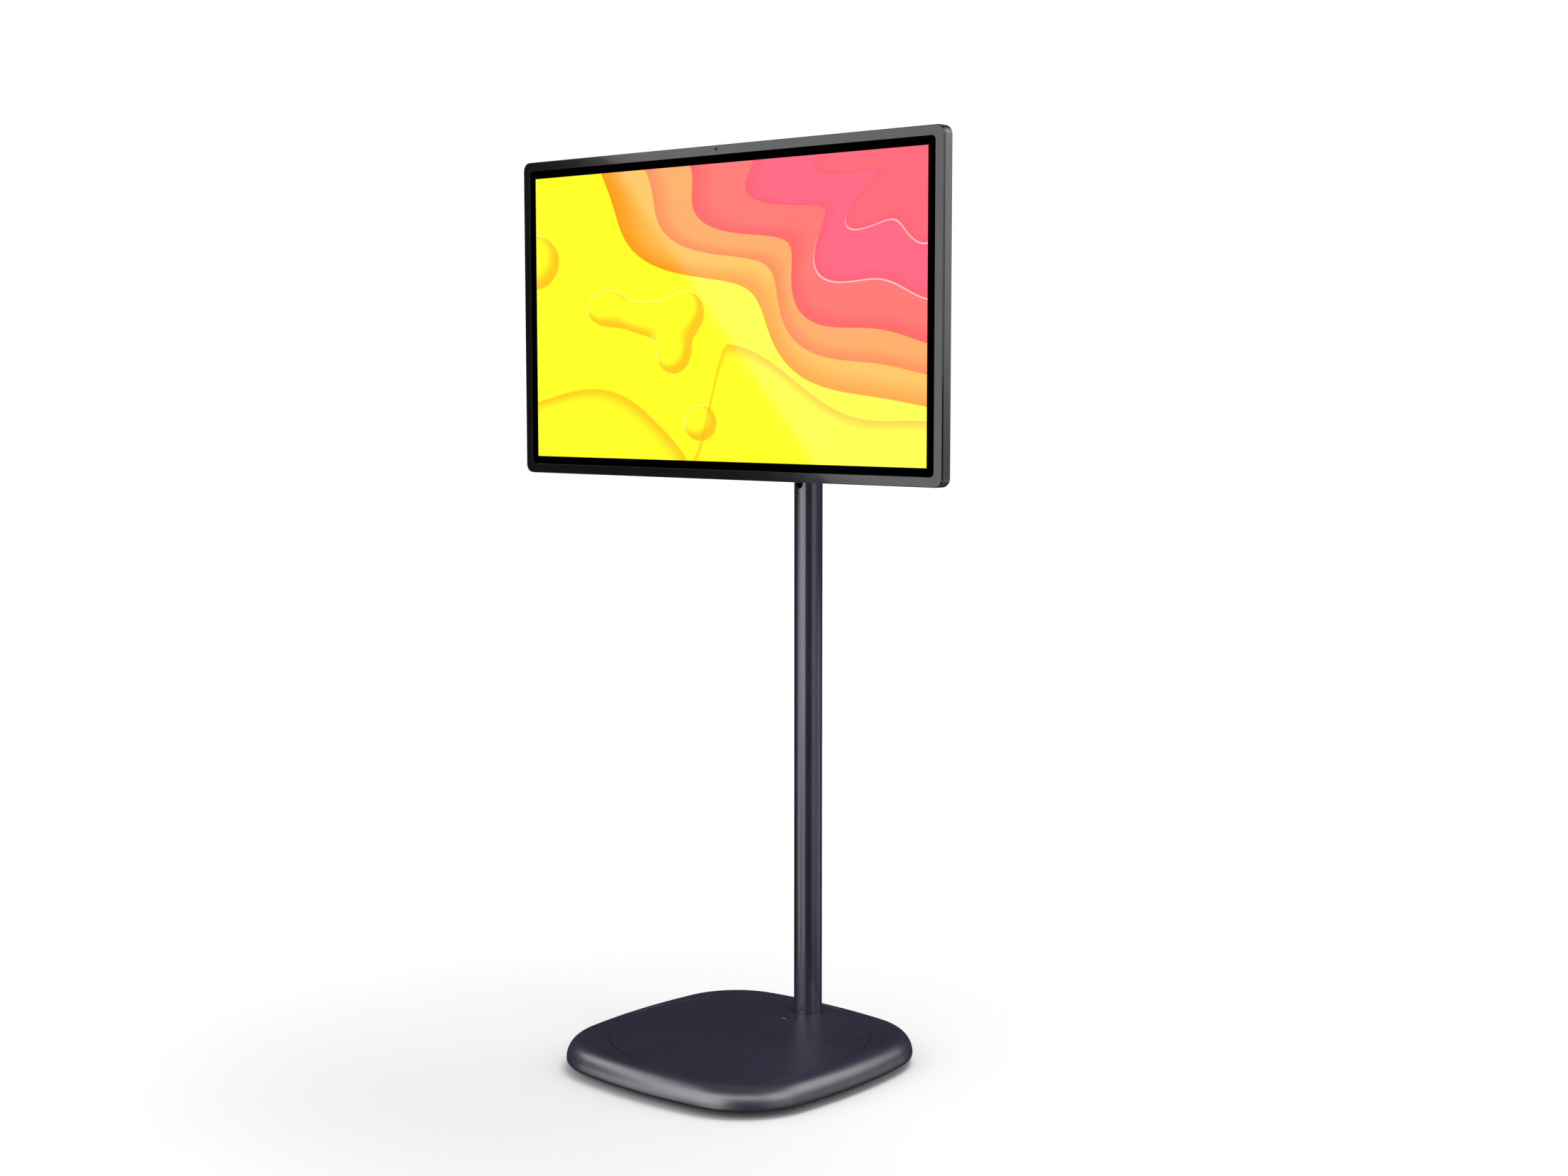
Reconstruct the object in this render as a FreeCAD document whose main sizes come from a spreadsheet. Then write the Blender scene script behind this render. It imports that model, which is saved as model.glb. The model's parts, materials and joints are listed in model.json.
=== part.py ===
"""A free-standing touchscreen kiosk: weighted base, round pole and a landscape display.

Frame: origin on the floor under the middle of the base, +Z up, the screen faces -Y
and +X is to the right of somebody looking at the screen. Sizes are in millimetres.
"""
import FreeCAD, Part
import math
import os
import re
import Sketcher

# Driving dimensions: name, size, what it is.
DIMENSIONS = [
    ("base_half", 209.1, "base centre to the middle of a side"),
    ("base_side_radius", 750, "bow of each side of the base"),
    ("base_corner_radius", 115, "corners of the base, seen from above"),
    ("base_height", 32.5, "height of the base shell"),
    ("rim_radius", 27.5, "rounding of the base's upper rim"),
    ("lip_radius", 4.5, "rounding of the base's lower rim"),
    ("shell_wall", 6, "side wall of the base shell"),
    ("top_wall", 5, "wall of the base shell under the inlay disc"),
    ("disc_radius", 180, "inlay disc on top of the base"),
    ("disc_thickness", 3, "thickness of the inlay disc"),
    ("seam", 0.4, "visible gap beside an inlaid piece"),
    ("fit_gap", 0.2, "gap beside a piece that is fixed in a hole or frame"),
    ("cover_thickness", 2, "sheet that closes the base from below"),
    ("cover_recess", 0.5, "how far that sheet lies above the shell's lower edge"),
    ("under_room", 10, "room between the bottom cover and the steel weight"),
    ("ballast_margin", 3, "weight's edge inside the shell's rounding"),
    ("foot_height", 10, "rubber foot"),
    ("foot_radius", 19, "rubber foot"),
    ("foot_inset", 79.1, "foot centre inside the base's sides"),
    ("foot_bore", 5, "counterbore for the foot's screw"),
    ("ballast_bolt_inset", 114.1, "weight's bolts inside the base's sides"),
    ("bolt_radius", 3, "shank of the large bolts"),
    ("bolt_head_radius", 5, "head of the large bolts"),
    ("bolt_head_height", 4, "head of the large bolts"),
    ("bolt_bite", 4, "how deep a large bolt goes into the base shell"),
    ("screw_radius", 2, "shank of the M4 screws"),
    ("screw_head_radius", 3.8, "head of the M4 screws"),
    ("screw_head_height", 2.6, "head of the M4 screws"),
    ("pole_radius", 20, "pole tube, outside"),
    ("pole_wall", 2.5, "pole tube"),
    ("pole_inset", 63.6, "pole axis ahead of the base's rear side"),
    ("pole_top", 1095, "top of the pole tube above the floor"),
    ("cable_hole_radius", 6, "cable outlet in the front of the pole"),
    ("cable_hole_height", 797, "centre of that outlet above the floor"),
    ("cable_duct_radius", 13, "cable way through flange and bottom cover"),
    ("cap_thickness", 3, "head of the plug in the pole's top"),
    ("cap_depth", 12, "plug in the pole's top"),
    ("flange_margin", 12, "foot flange beyond the pole tube"),
    ("flange_thickness", 5, "foot flange of the pole"),
    ("flange_bolt_offset", 6, "flange bolts beyond the pole tube"),
    ("button_ahead", 42, "base button in front of the pole axis"),
    ("button_length", 26, "pill-shaped base button, across"),
    ("button_width", 14, "pill-shaped base button, front to back"),
    ("button_recess", 0.8, "button top below the disc top"),
    ("button_height", 6, "button's pill"),
    ("button_travel", 1.5, "how far the button goes down"),
    ("button_gap", 0.4, "running gap round the button"),
    ("stem_radius", 1.7, "button stem"),
    ("stem_length", 3.6, "button stem below the pill"),
    ("pocket_length", 34, "pocket in the weight under the button"),
    ("pocket_width", 24, "pocket in the weight under the button"),
    ("pocket_depth", 6.5, "pocket in the weight under the button"),
    ("board_thickness", 1.6, "printed boards"),
    ("switch_width", 8, "switch under the button"),
    ("switch_height", 4, "switch under the button"),
    ("pip_radius", 0.9, "two light pips in front of the button"),
    ("pip_spread", 2, "light pips from the centre plane"),
    ("pip_ahead", 4, "light pips in front of the button's edge"),
    ("screen_ahead", 189.5, "front plane of the screen ahead of the pole axis"),
    ("screen_height", 1029.6, "middle of the screen above the floor"),
    ("screen_corner", 12, "corners of the display"),
    ("active_width", 698.4, "picture area"),
    ("active_tall", 392.85, "picture area"),
    ("border", 24, "display's edge beyond the picture area"),
    ("edge_thickness", 17.7, "display at its edge"),
    ("bezel_width", 13, "glossy frame round the mask"),
    ("bezel_inset", 0.6, "bezel's edge inside the band"),
    ("bezel_thickness", 2.2, "glossy frame"),
    ("bezel_corner", 6, "corners of the bezel's opening"),
    ("bezel_seam", 0.6, "shadow gap between bezel and band"),
    ("band_wall", 1.5, "metal band round the display"),
    ("band_rounding", 1.4, "rear edge of the band"),
    ("cover_wall", 1.5, "rear cover's walls"),
    ("back_wall", 2.5, "rear cover's flat back"),
    ("mask_recess", 0.2, "black mask below the bezel"),
    ("mask_thickness", 0.8, "black mask"),
    ("glass_thickness", 2, "touch glass"),
    ("panel_thickness", 3, "liquid crystal panel"),
    ("panel_margin", 6, "panel's edge outside the picture area"),
    ("backlight_thickness", 6, "backlight unit"),
    ("bump_width", 420, "electronics housing on the back"),
    ("bump_tall", 250, "electronics housing on the back"),
    ("bump_depth", 22.3, "electronics housing behind the flat back"),
    ("bump_corner", 24, "corners of the electronics housing"),
    ("bump_rounding", 8, "rear edge of the electronics housing"),
    ("rail_spread", 150, "panel rails from the centre plane"),
    ("rail_width", 18, "panel rails"),
    ("middle_screw_offset", 33, "cover's middle screws inside the rails"),
    ("vesa_spacing", 100, "square of the four display screws"),
    ("vesa_width", 124, "plate on the display's back"),
    ("vesa_corner", 10, "corners of that plate"),
    ("vesa_thickness", 4, "plate on the display's back"),
    ("vesa_bite", 6, "display screws' length into the cover"),
    ("boss_radius", 5, "posts in the cover for the display screws"),
    ("hub_radius", 34, "pivot hub and the flange behind it"),
    ("hub_thickness", 10, "pivot hub"),
    ("spindle_radius", 12, "pivot spindle"),
    ("running_gap", 0.05, "radial gap of a shaft that turns"),
    ("friction_thickness", 1, "friction disc of the pivot"),
    ("friction_gap", 0.1, "beside the friction disc"),
    ("head_flange_thickness", 6, "flange of the tilt knuckle"),
    ("retainer_radius", 17, "disc that holds the spindle"),
    ("retainer_thickness", 3, "disc that holds the spindle"),
    ("retainer_gap", 0.5, "in front of and behind that disc"),
    ("stop_circle", 26, "radius at which the pivot's stop pin runs"),
    ("stop_radius", 2.5, "stop pin of the pivot"),
    ("stop_depth", 6, "groove for the stop pin"),
    ("tilt_ahead", 100.5, "tilt axis in front of the pole axis"),
    ("knuckle_radius", 14, "barrel of the tilt knuckle"),
    ("knuckle_half", 14, "half the barrel's length"),
    ("neck_half", 10, "half the height of the knuckle's neck"),
    ("washer_thickness", 1.8, "friction washers of the tilt hinge"),
    ("washer_radius", 13, "friction washers of the tilt hinge"),
    ("ear_thickness", 8, "ears of the support arm"),
    ("tilt_pin_radius", 5, "pin of the tilt hinge"),
    ("tilt_head_radius", 9, "pin head and nut"),
    ("tilt_head_height", 6, "pin head and nut"),
    ("arm_gap", 4, "arm's web behind the barrel"),
    ("arm_plate_thickness", 8, "arm's plate on the clamp"),
    ("arm_plate_width", 64, "arm's plate, across"),
    ("arm_plate_tall", 60, "arm's plate, up and down"),
    ("arm_bolt_x", 23, "arm bolts from the centre plane"),
    ("arm_bolt_z", 20, "arm bolts above and below the arm's middle"),
    ("arm_bolt_bite", 8, "arm bolts' length into the clamp"),
    ("clamp_wall", 9, "clamp round the pole"),
    ("clamp_tall", 60, "clamp round the pole"),
    ("clamp_pad", 14, "clamp's front face ahead of the pole tube"),
    ("clamp_ear", 22, "ends of the clamp's ears from the pole tube"),
    ("clamp_ear_thickness", 8, "each ear of the clamp"),
    ("clamp_split", 1.5, "gap between the clamp's halves"),
    ("clamp_screw_offset", 16, "clamp screws from the pole tube"),
    ("clamp_screw_z", 18, "clamp screws above and below the clamp's middle"),
    ("camera_drop", 5.5, "camera below the top edge"),
    ("camera_radius", 1.9, "window of the camera"),
    ("camera_width", 12, "camera module"),
    ("camera_half", 2.0, "half the height of the camera module"),
    ("camera_depth", 5, "camera module"),
    ("port_width", 84, "panel of sockets under the housing"),
    ("port_depth", 14, "panel of sockets, front to back"),
    ("port_tall", 12, "how far the sockets reach up"),
    ("jack_radius", 3.2, "power socket"),
    ("jack_pin_radius", 1.25, "pin in the power socket"),
    ("socket_width", 9, "flat sockets, across"),
    ("socket_depth", 3.2, "flat sockets, front to back"),
    ("socket_tall", 9, "depth of every socket"),
    ("key_length", 14, "power key"),
    ("rocker_length", 34, "volume rocker"),
    ("key_width", 7, "keys"),
    ("key_proud", 1.2, "keys beyond the housing's back"),
    ("key_body", 4, "keys inside the housing"),
    ("key_gap", 0.35, "running gap round a key"),
    ("key_aside", 172, "keys from the centre plane"),
    ("slot_width", 2.4, "vent and speaker slots"),
    ("slot_pitch", 7, "vent and speaker slots"),
    ("speaker_width", 90, "speaker boxes"),
    ("speaker_tall", 26, "speaker boxes"),
    ("speaker_aside", 135, "speaker boxes from the centre plane"),
    ("board_post", 5, "posts between the cover's back and the boards"),
]
VENT_SLOTS = 20
SPEAKER_SLOTS = 9
SIZES = {name: size for name, size, note in DIMENSIONS}

doc = FreeCAD.newDocument("touchscreen_kiosk")
sheet = doc.addObject("Spreadsheet::Sheet", "dims")
for row, (name, size, note) in enumerate(DIMENSIONS, 1):
    sheet.set(f"A{row}", name)
    sheet.set(f"B{row}", str(size))
    sheet.setAlias(f"B{row}", name)
    sheet.set(f"C{row}", note)
doc.recompute()

# Places that follow from the dimensions, as formulas.
POLE_Y = "(base_half - pole_inset)"
SCREEN_WIDTH = "(active_width + 2 * border)"
SCREEN_TALL = "(active_tall + 2 * border)"
FLANGE_BOLTS = "((pole_radius + flange_bolt_offset) * 0.7071)"
CLAMP_EAR = "(pole_radius + clamp_ear)"
BASE_BOTTOM = "(foot_height - cover_recess)"
BASE_TOP = f"({BASE_BOTTOM} + base_height)"
COVER_TOP = "(foot_height + cover_thickness)"
BALLAST_TOP = f"({BASE_TOP} - disc_thickness - top_wall)"
BALLAST_BOTTOM = f"({COVER_TOP} + under_room)"
RIM = "min(rim_radius; base_height - lip_radius - 0.4)"
CAVITY_RIM = f"min({RIM} - shell_wall; {BALLAST_TOP} - {BASE_BOTTOM} - 1)"
FLANGE_BOTTOM = f"({BALLAST_BOTTOM} - flange_thickness)"
BUTTON_Y = f"({POLE_Y} - button_ahead)"
BUTTON_BOTTOM = f"({BASE_TOP} - button_recess - button_height)"
POCKET_BOTTOM = f"({BALLAST_TOP} - pocket_depth)"
FRONT = f"({POLE_Y} - screen_ahead)"
EDGE_BACK = f"({FRONT} + edge_thickness)"
BUMP_BACK = f"({EDGE_BACK} + bump_depth)"
BEZEL_BACK = f"({FRONT} + bezel_thickness)"
BAND_FRONT = f"({BEZEL_BACK} + bezel_seam)"
COVER_GAP = "(band_wall + fit_gap)"
MASK_FRONT = f"({FRONT} + mask_recess)"
GLASS_FRONT = f"({MASK_FRONT} + mask_thickness)"
PANEL_FRONT = f"({GLASS_FRONT} + glass_thickness + fit_gap)"
LIGHT_FRONT = f"({PANEL_FRONT} + panel_thickness)"
LIGHT_BACK = f"({LIGHT_FRONT} + backlight_thickness)"
FLAT_INSIDE = f"({EDGE_BACK} - back_wall)"
BUMP_INSIDE = f"({BUMP_BACK} - back_wall)"
VESA_BACK = f"({BUMP_BACK} + vesa_thickness)"
HUB_BACK = f"({VESA_BACK} + hub_thickness)"
FRICTION_BACK = f"({HUB_BACK} + friction_thickness)"
HEAD_FRONT = f"({FRICTION_BACK} + friction_gap)"
HEAD_BACK = f"({HEAD_FRONT} + head_flange_thickness)"
RETAINER_BACK = f"({BUMP_BACK} - retainer_gap)"
RETAINER_FRONT = f"({RETAINER_BACK} - retainer_thickness)"
TILT_Y = f"({POLE_Y} - tilt_ahead)"
EAR_INSIDE = "(knuckle_half + washer_thickness + 2 * friction_gap)"
EAR_OUTSIDE = f"({EAR_INSIDE} + ear_thickness)"
CLAMP_FRONT = f"({POLE_Y} - pole_radius - clamp_pad)"
ARM_PLATE_FRONT = f"({CLAMP_FRONT} - arm_plate_thickness)"
WEB_FRONT = f"({TILT_Y} + knuckle_radius + arm_gap)"
CAMERA_Z = f"(screen_height + {SCREEN_TALL} / 2 - camera_drop)"
BUMP_LOW = "(screen_height - bump_tall / 2)"
BUMP_TOP = "(screen_height + bump_tall / 2)"
BOARD_BACK = f"({BUMP_INSIDE} - board_post)"
BOARD_FRONT = f"({BOARD_BACK} - board_thickness)"

ALONG = {"x": FreeCAD.Rotation(FreeCAD.Vector(0, 1, 0), 90),
         "y": FreeCAD.Rotation(FreeCAD.Vector(1, 0, 0), -90),
         "z": FreeCAD.Rotation()}
kept = []


def formula(text):
    """Writes each dimension name in a formula as a cell of the spreadsheet."""
    def cell(word):
        return "dims." + word.group() if word.group() in SIZES else word.group()
    return re.sub(r"[a-z][a-z_]*", cell, text)


def size_of(text):
    """The number that a formula gives."""
    return float(sheet.evalExpression(formula(text)))


def bind(thing, **sizes):
    """Ties properties of an object to formulas."""
    for name, text in sizes.items():
        thing.setExpression(name, formula(text))


def move(thing, x, y, z):
    """Ties an object's place to formulas."""
    for axis, text in zip("xyz", (x, y, z)):
        thing.setExpression("Placement.Base." + axis, formula(text))


def keep(thing, label):
    """Marks an object as a sub-part, with the name of its file."""
    thing.Label = label
    kept.append(thing)
    return thing


def box(name, x, y, z):
    """A box between two planes on each axis."""
    thing = doc.addObject("Part::Box", name)
    bind(thing, Length=f"({x[1]}) - ({x[0]})", Width=f"({y[1]}) - ({y[0]})", Height=f"({z[1]}) - ({z[0]})")
    move(thing, x[0], y[0], z[0])
    return thing


def round_bar(name, axis, radius, start, end, x="0", y="0", z="0", kind="Part::Cylinder"):
    """A round or hexagonal bar along an axis from start to end; the other two places centre it."""
    thing = doc.addObject(kind, name)
    if kind == "Part::Prism":
        thing.Polygon = 6
        bind(thing, Circumradius=radius)
    else:
        bind(thing, Radius=radius)
    bind(thing, Height=f"({end}) - ({start})")
    thing.Placement = FreeCAD.Placement(FreeCAD.Vector(), ALONG[axis])
    centre = {"x": x, "y": y, "z": z}
    centre[axis] = start
    move(thing, centre["x"], centre["y"], centre["z"])
    return thing


def join(name, *pieces):
    """One solid from several."""
    thing = doc.addObject("Part::MultiFuse", name)
    thing.Shapes = list(pieces)
    thing.Refine = True
    return thing


def group(name, pieces):
    """Several solids in one sub-part."""
    thing = doc.addObject("Part::Compound", name)
    thing.Links = list(pieces)
    return thing


def cut(name, stock, *tools):
    """The stock without the tools."""
    thing = doc.addObject("Part::Cut", name)
    thing.Base = stock
    thing.Tool = tools[0] if len(tools) == 1 else join(name + "_tools", *tools)
    thing.Refine = True
    return thing


def sketch_in(body, role):
    """A sketch on one of a body's own origin planes."""
    plane = [face for face in body.Origin.OriginFeatures if face.Role == role][0]
    sketch = body.newObject("Sketcher::SketchObject", body.Name + "_outline")
    sketch.AttachmentSupport = [(plane, "")]
    sketch.MapMode = "FlatFace"
    return sketch


def pad(body, sketch, length):
    """The sketch, padded along its normal: +Z on XY_Plane, -Y on XZ_Plane."""
    thing = body.newObject("PartDesign::Pad", body.Name + "_pad")
    thing.Profile = sketch
    bind(thing, Length=length)
    doc.recompute()
    return thing


def round_edges(body, radius, wanted, suffix):
    """Rounds the edges of the body's tip for which wanted(edge) is true."""
    tip = body.Tip
    names = [f"Edge{i}" for i, edge in enumerate(tip.Shape.Edges, 1) if wanted(edge)]
    thing = body.newObject("PartDesign::Fillet", body.Name + suffix)
    thing.Base = (tip, names)
    bind(thing, Radius=radius)
    doc.recompute()
    return thing


def lies_at(axis, place):
    """Tests whether an edge lies in the plane at a place on an axis."""
    def wanted(edge):
        span = edge.BoundBox
        low, high = getattr(span, axis.upper() + "Min"), getattr(span, axis.upper() + "Max")
        return abs(low - place) < 0.01 and abs(high - place) < 0.01
    return wanted


def runs_along(axis):
    """Tests whether an edge is a straight line along an axis."""
    def wanted(edge):
        span = edge.BoundBox
        lengths = {"x": span.XLength, "y": span.YLength, "z": span.ZLength}
        return abs(lengths[axis] - edge.Length) < 0.01
    return wanted


def rectangle(sketch, width, tall):
    """A rectangle centred on the sketch's origin."""
    w, t = size_of(width) / 2, size_of(tall) / 2
    corners = [FreeCAD.Vector(sx * w, sy * t, 0) for sx, sy in ((-1, -1), (1, -1), (1, 1), (-1, 1))]
    lines = [sketch.addGeometry(Part.LineSegment(a, b), False) for a, b in zip(corners, corners[1:] + corners[:1])]
    for i, line in enumerate(lines):
        sketch.addConstraint(Sketcher.Constraint("Coincident", line, 2, lines[(i + 1) % 4], 1))
        sketch.addConstraint(Sketcher.Constraint("Vertical" if i % 2 else "Horizontal", line))
    sketch.addConstraint(Sketcher.Constraint("Symmetric", lines[0], 1, lines[2], 1, -1, 1))
    across = sketch.addConstraint(Sketcher.Constraint("DistanceX", lines[0], 1, lines[0], 2, 2 * w))
    up = sketch.addConstraint(Sketcher.Constraint("DistanceY", lines[1], 1, lines[1], 2, 2 * t))
    sketch.setExpression(f"Constraints[{across}]", formula(width))
    sketch.setExpression(f"Constraints[{up}]", formula(tall))


def panel(name, width, tall, corner, front, back, front_rounding=None, back_rounding=None,
          x="0", z="screen_height"):
    """An upright plate facing -Y between two planes, with rounded corners and edges."""
    body = doc.addObject("PartDesign::Body", name)
    outline = sketch_in(body, "XZ_Plane")
    rectangle(outline, width, tall)
    pad(body, outline, f"({back}) - ({front})")
    if corner:
        round_edges(body, corner, runs_along("y"), "_corners")
    if front_rounding:
        depth = size_of(f"({back}) - ({front})")
        round_edges(body, front_rounding, lies_at("y", -depth), "_front_edge")
    if back_rounding:
        round_edges(body, back_rounding, lies_at("y", 0), "_back_edge")
    move(body, x, back, z)
    return body


def bowed_square(name, inset, bottom, tall, top_rounding=None, bottom_rounding=None):
    """The base's outline, moved in by inset and padded up: four bowed sides, rounded corners."""
    half, bow = size_of(f"base_half - ({inset})"), size_of(f"base_side_radius - ({inset})")
    corner = (math.sqrt(2 * bow ** 2 - (bow - half) ** 2) - (bow - half)) / 2
    reach = math.atan2(corner, corner + bow - half)
    body = doc.addObject("PartDesign::Body", name)
    outline = sketch_in(body, "XY_Plane")
    away = "(base_side_radius - base_half)"
    sides = []
    for turn, (right, up) in enumerate(((-1, 0), (0, -1), (1, 0), (0, 1))):
        centre = FreeCAD.Vector(right * (bow - half), up * (bow - half), 0)
        circle = Part.Circle(centre, FreeCAD.Vector(0, 0, 1), bow)
        middle = turn * math.pi / 2
        side = outline.addGeometry(Part.ArcOfCircle(circle, middle - reach, middle + reach), False)
        sides.append(side)
        for kind, factor in (("DistanceX", right), ("DistanceY", up)):
            place = outline.addConstraint(Sketcher.Constraint(kind, -1, 1, side, 3, factor * (bow - half)))
            outline.setExpression(f"Constraints[{place}]", formula(f"{factor} * {away}"))
        bowed = outline.addConstraint(Sketcher.Constraint("Radius", side, bow))
        outline.setExpression(f"Constraints[{bowed}]", formula(f"base_side_radius - ({inset})"))
    for turn, side in enumerate(sides):
        outline.addConstraint(Sketcher.Constraint("Coincident", side, 2, sides[(turn + 1) % 4], 1))
    pad(body, outline, tall)
    round_edges(body, f"base_corner_radius - ({inset})", runs_along("z"), "_corners")
    if top_rounding:
        round_edges(body, top_rounding, lies_at("z", size_of(tall)), "_top_rim")
    if bottom_rounding:
        round_edges(body, bottom_rounding, lies_at("z", 0), "_lower_rim")
    move(body, "0", "0", bottom)
    return body


def pill(name, length, width, low, high, x="0", y="0"):
    """An upright bar with a pill-shaped section, long across."""
    straight = f"(({length}) - ({width})) / 2"
    ends = [round_bar(f"{name}_end{i}", "z", f"({width}) / 2", low, high, f"({x}) + {side} * {straight}", y)
            for i, side in enumerate((-1, 1))]
    middle = box(name + "_middle", (f"({x}) - {straight}", f"({x}) + {straight}"),
                 (f"({y}) - ({width}) / 2", f"({y}) + ({width}) / 2"), (low, high))
    return join(name, middle, *ends)


def screw(name, axis, head, tip, radius, head_radius, head_height, x="0", y="0", z="0"):
    """A socket screw along an axis: the head lies beyond the plane head, away from the tip."""
    inwards = size_of(tip) > size_of(head)
    top = f"({head}) {'-' if inwards else '+'} ({head_height})"
    socket = f"({top}) {'+' if inwards else '-'} ({head_height}) * 0.6"
    shank_ends = (head, tip) if inwards else (tip, head)
    head_ends = (top, head) if inwards else (head, top)
    socket_ends = (top, socket) if inwards else (socket, top)
    shank = round_bar(name + "_shank", axis, radius, *shank_ends, x, y, z)
    cap = round_bar(name + "_head", axis, head_radius, *head_ends, x, y, z)
    hexagon = round_bar(name + "_socket", axis, f"({head_radius}) * 0.5", *socket_ends, x, y, z, "Part::Prism")
    return cut(name, join(name + "_blank", shank, cap), hexagon)


def four(spread_a, spread_b=None):
    """The four places at plus and minus two distances, as pairs of formulas."""
    return [(f"({a} * {spread_a})", f"({b} * {spread_b or spread_a})") for a in (-1, 1) for b in (-1, 1)]


def make_base():
    """Shell, inlay disc, steel weight, bottom sheet, feet and their screws."""
    outside = bowed_square("shell_outside", "0", BASE_BOTTOM, "base_height", RIM, "lip_radius")
    cavity = bowed_square("shell_cavity", "shell_wall", BASE_BOTTOM, f"{BALLAST_TOP} - {BASE_BOTTOM}", CAVITY_RIM)
    recess = round_bar("disc_recess", "z", "disc_radius + seam", f"{BASE_TOP} - disc_thickness", f"{BASE_TOP} + 1")
    pole_way = round_bar("shell_pole_way", "z", "pole_radius + fit_gap", BASE_BOTTOM, BASE_TOP, y=POLE_Y)
    button_way = pill("shell_button_way", "button_length + 2 * button_gap", "button_width + 2 * button_gap",
                      BASE_BOTTOM, BASE_TOP, y=BUTTON_Y)
    bolt_ways = [round_bar(f"shell_bolt_way{i}", "z", "bolt_radius + fit_gap", f"{BALLAST_TOP} - 1",
                           f"{BALLAST_TOP} + bolt_bite", x, y)
                 for i, (x, y) in enumerate(four("(base_half - ballast_bolt_inset)"))]
    keep(cut("base_shell_solid", outside, cavity, recess, pole_way, button_way, *bolt_ways), "base_shell")

    disc = round_bar("disc_blank", "z", "disc_radius", f"{BASE_TOP} - disc_thickness", BASE_TOP)
    disc_pole = round_bar("disc_pole_way", "z", "pole_radius + fit_gap", BASE_BOTTOM, f"{BASE_TOP} + 1",
                          y=POLE_Y)
    disc_button = pill("disc_button_way", "button_length + 2 * button_gap", "button_width + 2 * button_gap",
                       BASE_BOTTOM, f"{BASE_TOP} + 1", y=BUTTON_Y)
    pip_y = f"({BUTTON_Y} - button_width / 2 - pip_ahead)"
    pip_spots = [f"({side} * pip_spread)" for side in (-1, 1)]
    pip_ways = [round_bar(f"disc_pip_way{i}", "z", "pip_radius", f"{BASE_TOP} - disc_thickness - 1",
                          f"{BASE_TOP} + 1", x, pip_y) for i, x in enumerate(pip_spots)]
    keep(cut("base_disc_solid", disc, disc_pole, disc_button, *pip_ways), "base_disc")
    pips = [round_bar(f"pip{i}", "z", "pip_radius - 0.05", f"{BASE_TOP} - disc_thickness", f"{BASE_TOP} - 0.1",
                      x, pip_y) for i, x in enumerate(pip_spots)]
    keep(group("indicator_pips_group", pips), "indicator_pips")

    weight = bowed_square("weight_blank", "rim_radius + ballast_margin", BALLAST_BOTTOM,
                          f"{BALLAST_TOP} - {BALLAST_BOTTOM}")
    weight_pole = round_bar("weight_pole_way", "z", "pole_radius + fit_gap", f"{BALLAST_BOTTOM} - 1",
                            f"{BALLAST_TOP} + 1", y=POLE_Y)
    pocket = box("weight_pocket", ("0 - pocket_length / 2", "pocket_length / 2"),
                 (f"{BUTTON_Y} - pocket_width / 2", f"{BUTTON_Y} + pocket_width / 2"),
                 (POCKET_BOTTOM, f"{BALLAST_TOP} + 1"))
    weight_bolts = [round_bar(f"weight_bolt_way{i}", "z", "bolt_radius + fit_gap", f"{BALLAST_BOTTOM} - 1",
                              f"{BALLAST_TOP} + 1", x, y)
                    for i, (x, y) in enumerate(four("(base_half - ballast_bolt_inset)"))]
    flange_spots = four(FLANGE_BOLTS)
    flange_ways = [round_bar(f"weight_flange_way{i}", "z", "bolt_radius + fit_gap", f"{BALLAST_BOTTOM} - 1",
                             f"{BALLAST_TOP} - 2", x, f"{POLE_Y} + {y}")
                   for i, (x, y) in enumerate(flange_spots)]
    keep(cut("ballast_solid", weight, weight_pole, pocket, *weight_bolts, *flange_ways), "ballast_plate")
    bolts = [screw(f"ballast_bolt{i}", "z", BALLAST_BOTTOM, f"{BALLAST_TOP} + bolt_bite - 0.5", "bolt_radius",
                   "bolt_head_radius", "bolt_head_height", x, y)
             for i, (x, y) in enumerate(four("(base_half - ballast_bolt_inset)"))]
    keep(group("ballast_bolts_group", bolts), "ballast_bolts")

    flange = round_bar("flange_blank", "z", "pole_radius + flange_margin", FLANGE_BOTTOM, BALLAST_BOTTOM, y=POLE_Y)
    duct = round_bar("flange_duct", "z", "cable_duct_radius", f"{FLANGE_BOTTOM} - 1", f"{BALLAST_BOTTOM} + 1",
                     y=POLE_Y)
    flange_holes = [round_bar(f"flange_hole{i}", "z", "bolt_radius + fit_gap", f"{FLANGE_BOTTOM} - 1",
                              f"{BALLAST_BOTTOM} + 1", x, f"{POLE_Y} + {y}")
                    for i, (x, y) in enumerate(flange_spots)]
    keep(cut("pole_flange_solid", flange, duct, *flange_holes), "pole_flange")
    flange_bolts = [screw(f"flange_bolt{i}", "z", FLANGE_BOTTOM, f"{BALLAST_TOP} - 3",
                          "bolt_radius", "bolt_head_radius", "bolt_head_height", x, f"{POLE_Y} + {y}")
                    for i, (x, y) in enumerate(flange_spots)]
    keep(group("flange_bolts_group", flange_bolts), "flange_bolts")

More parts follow.
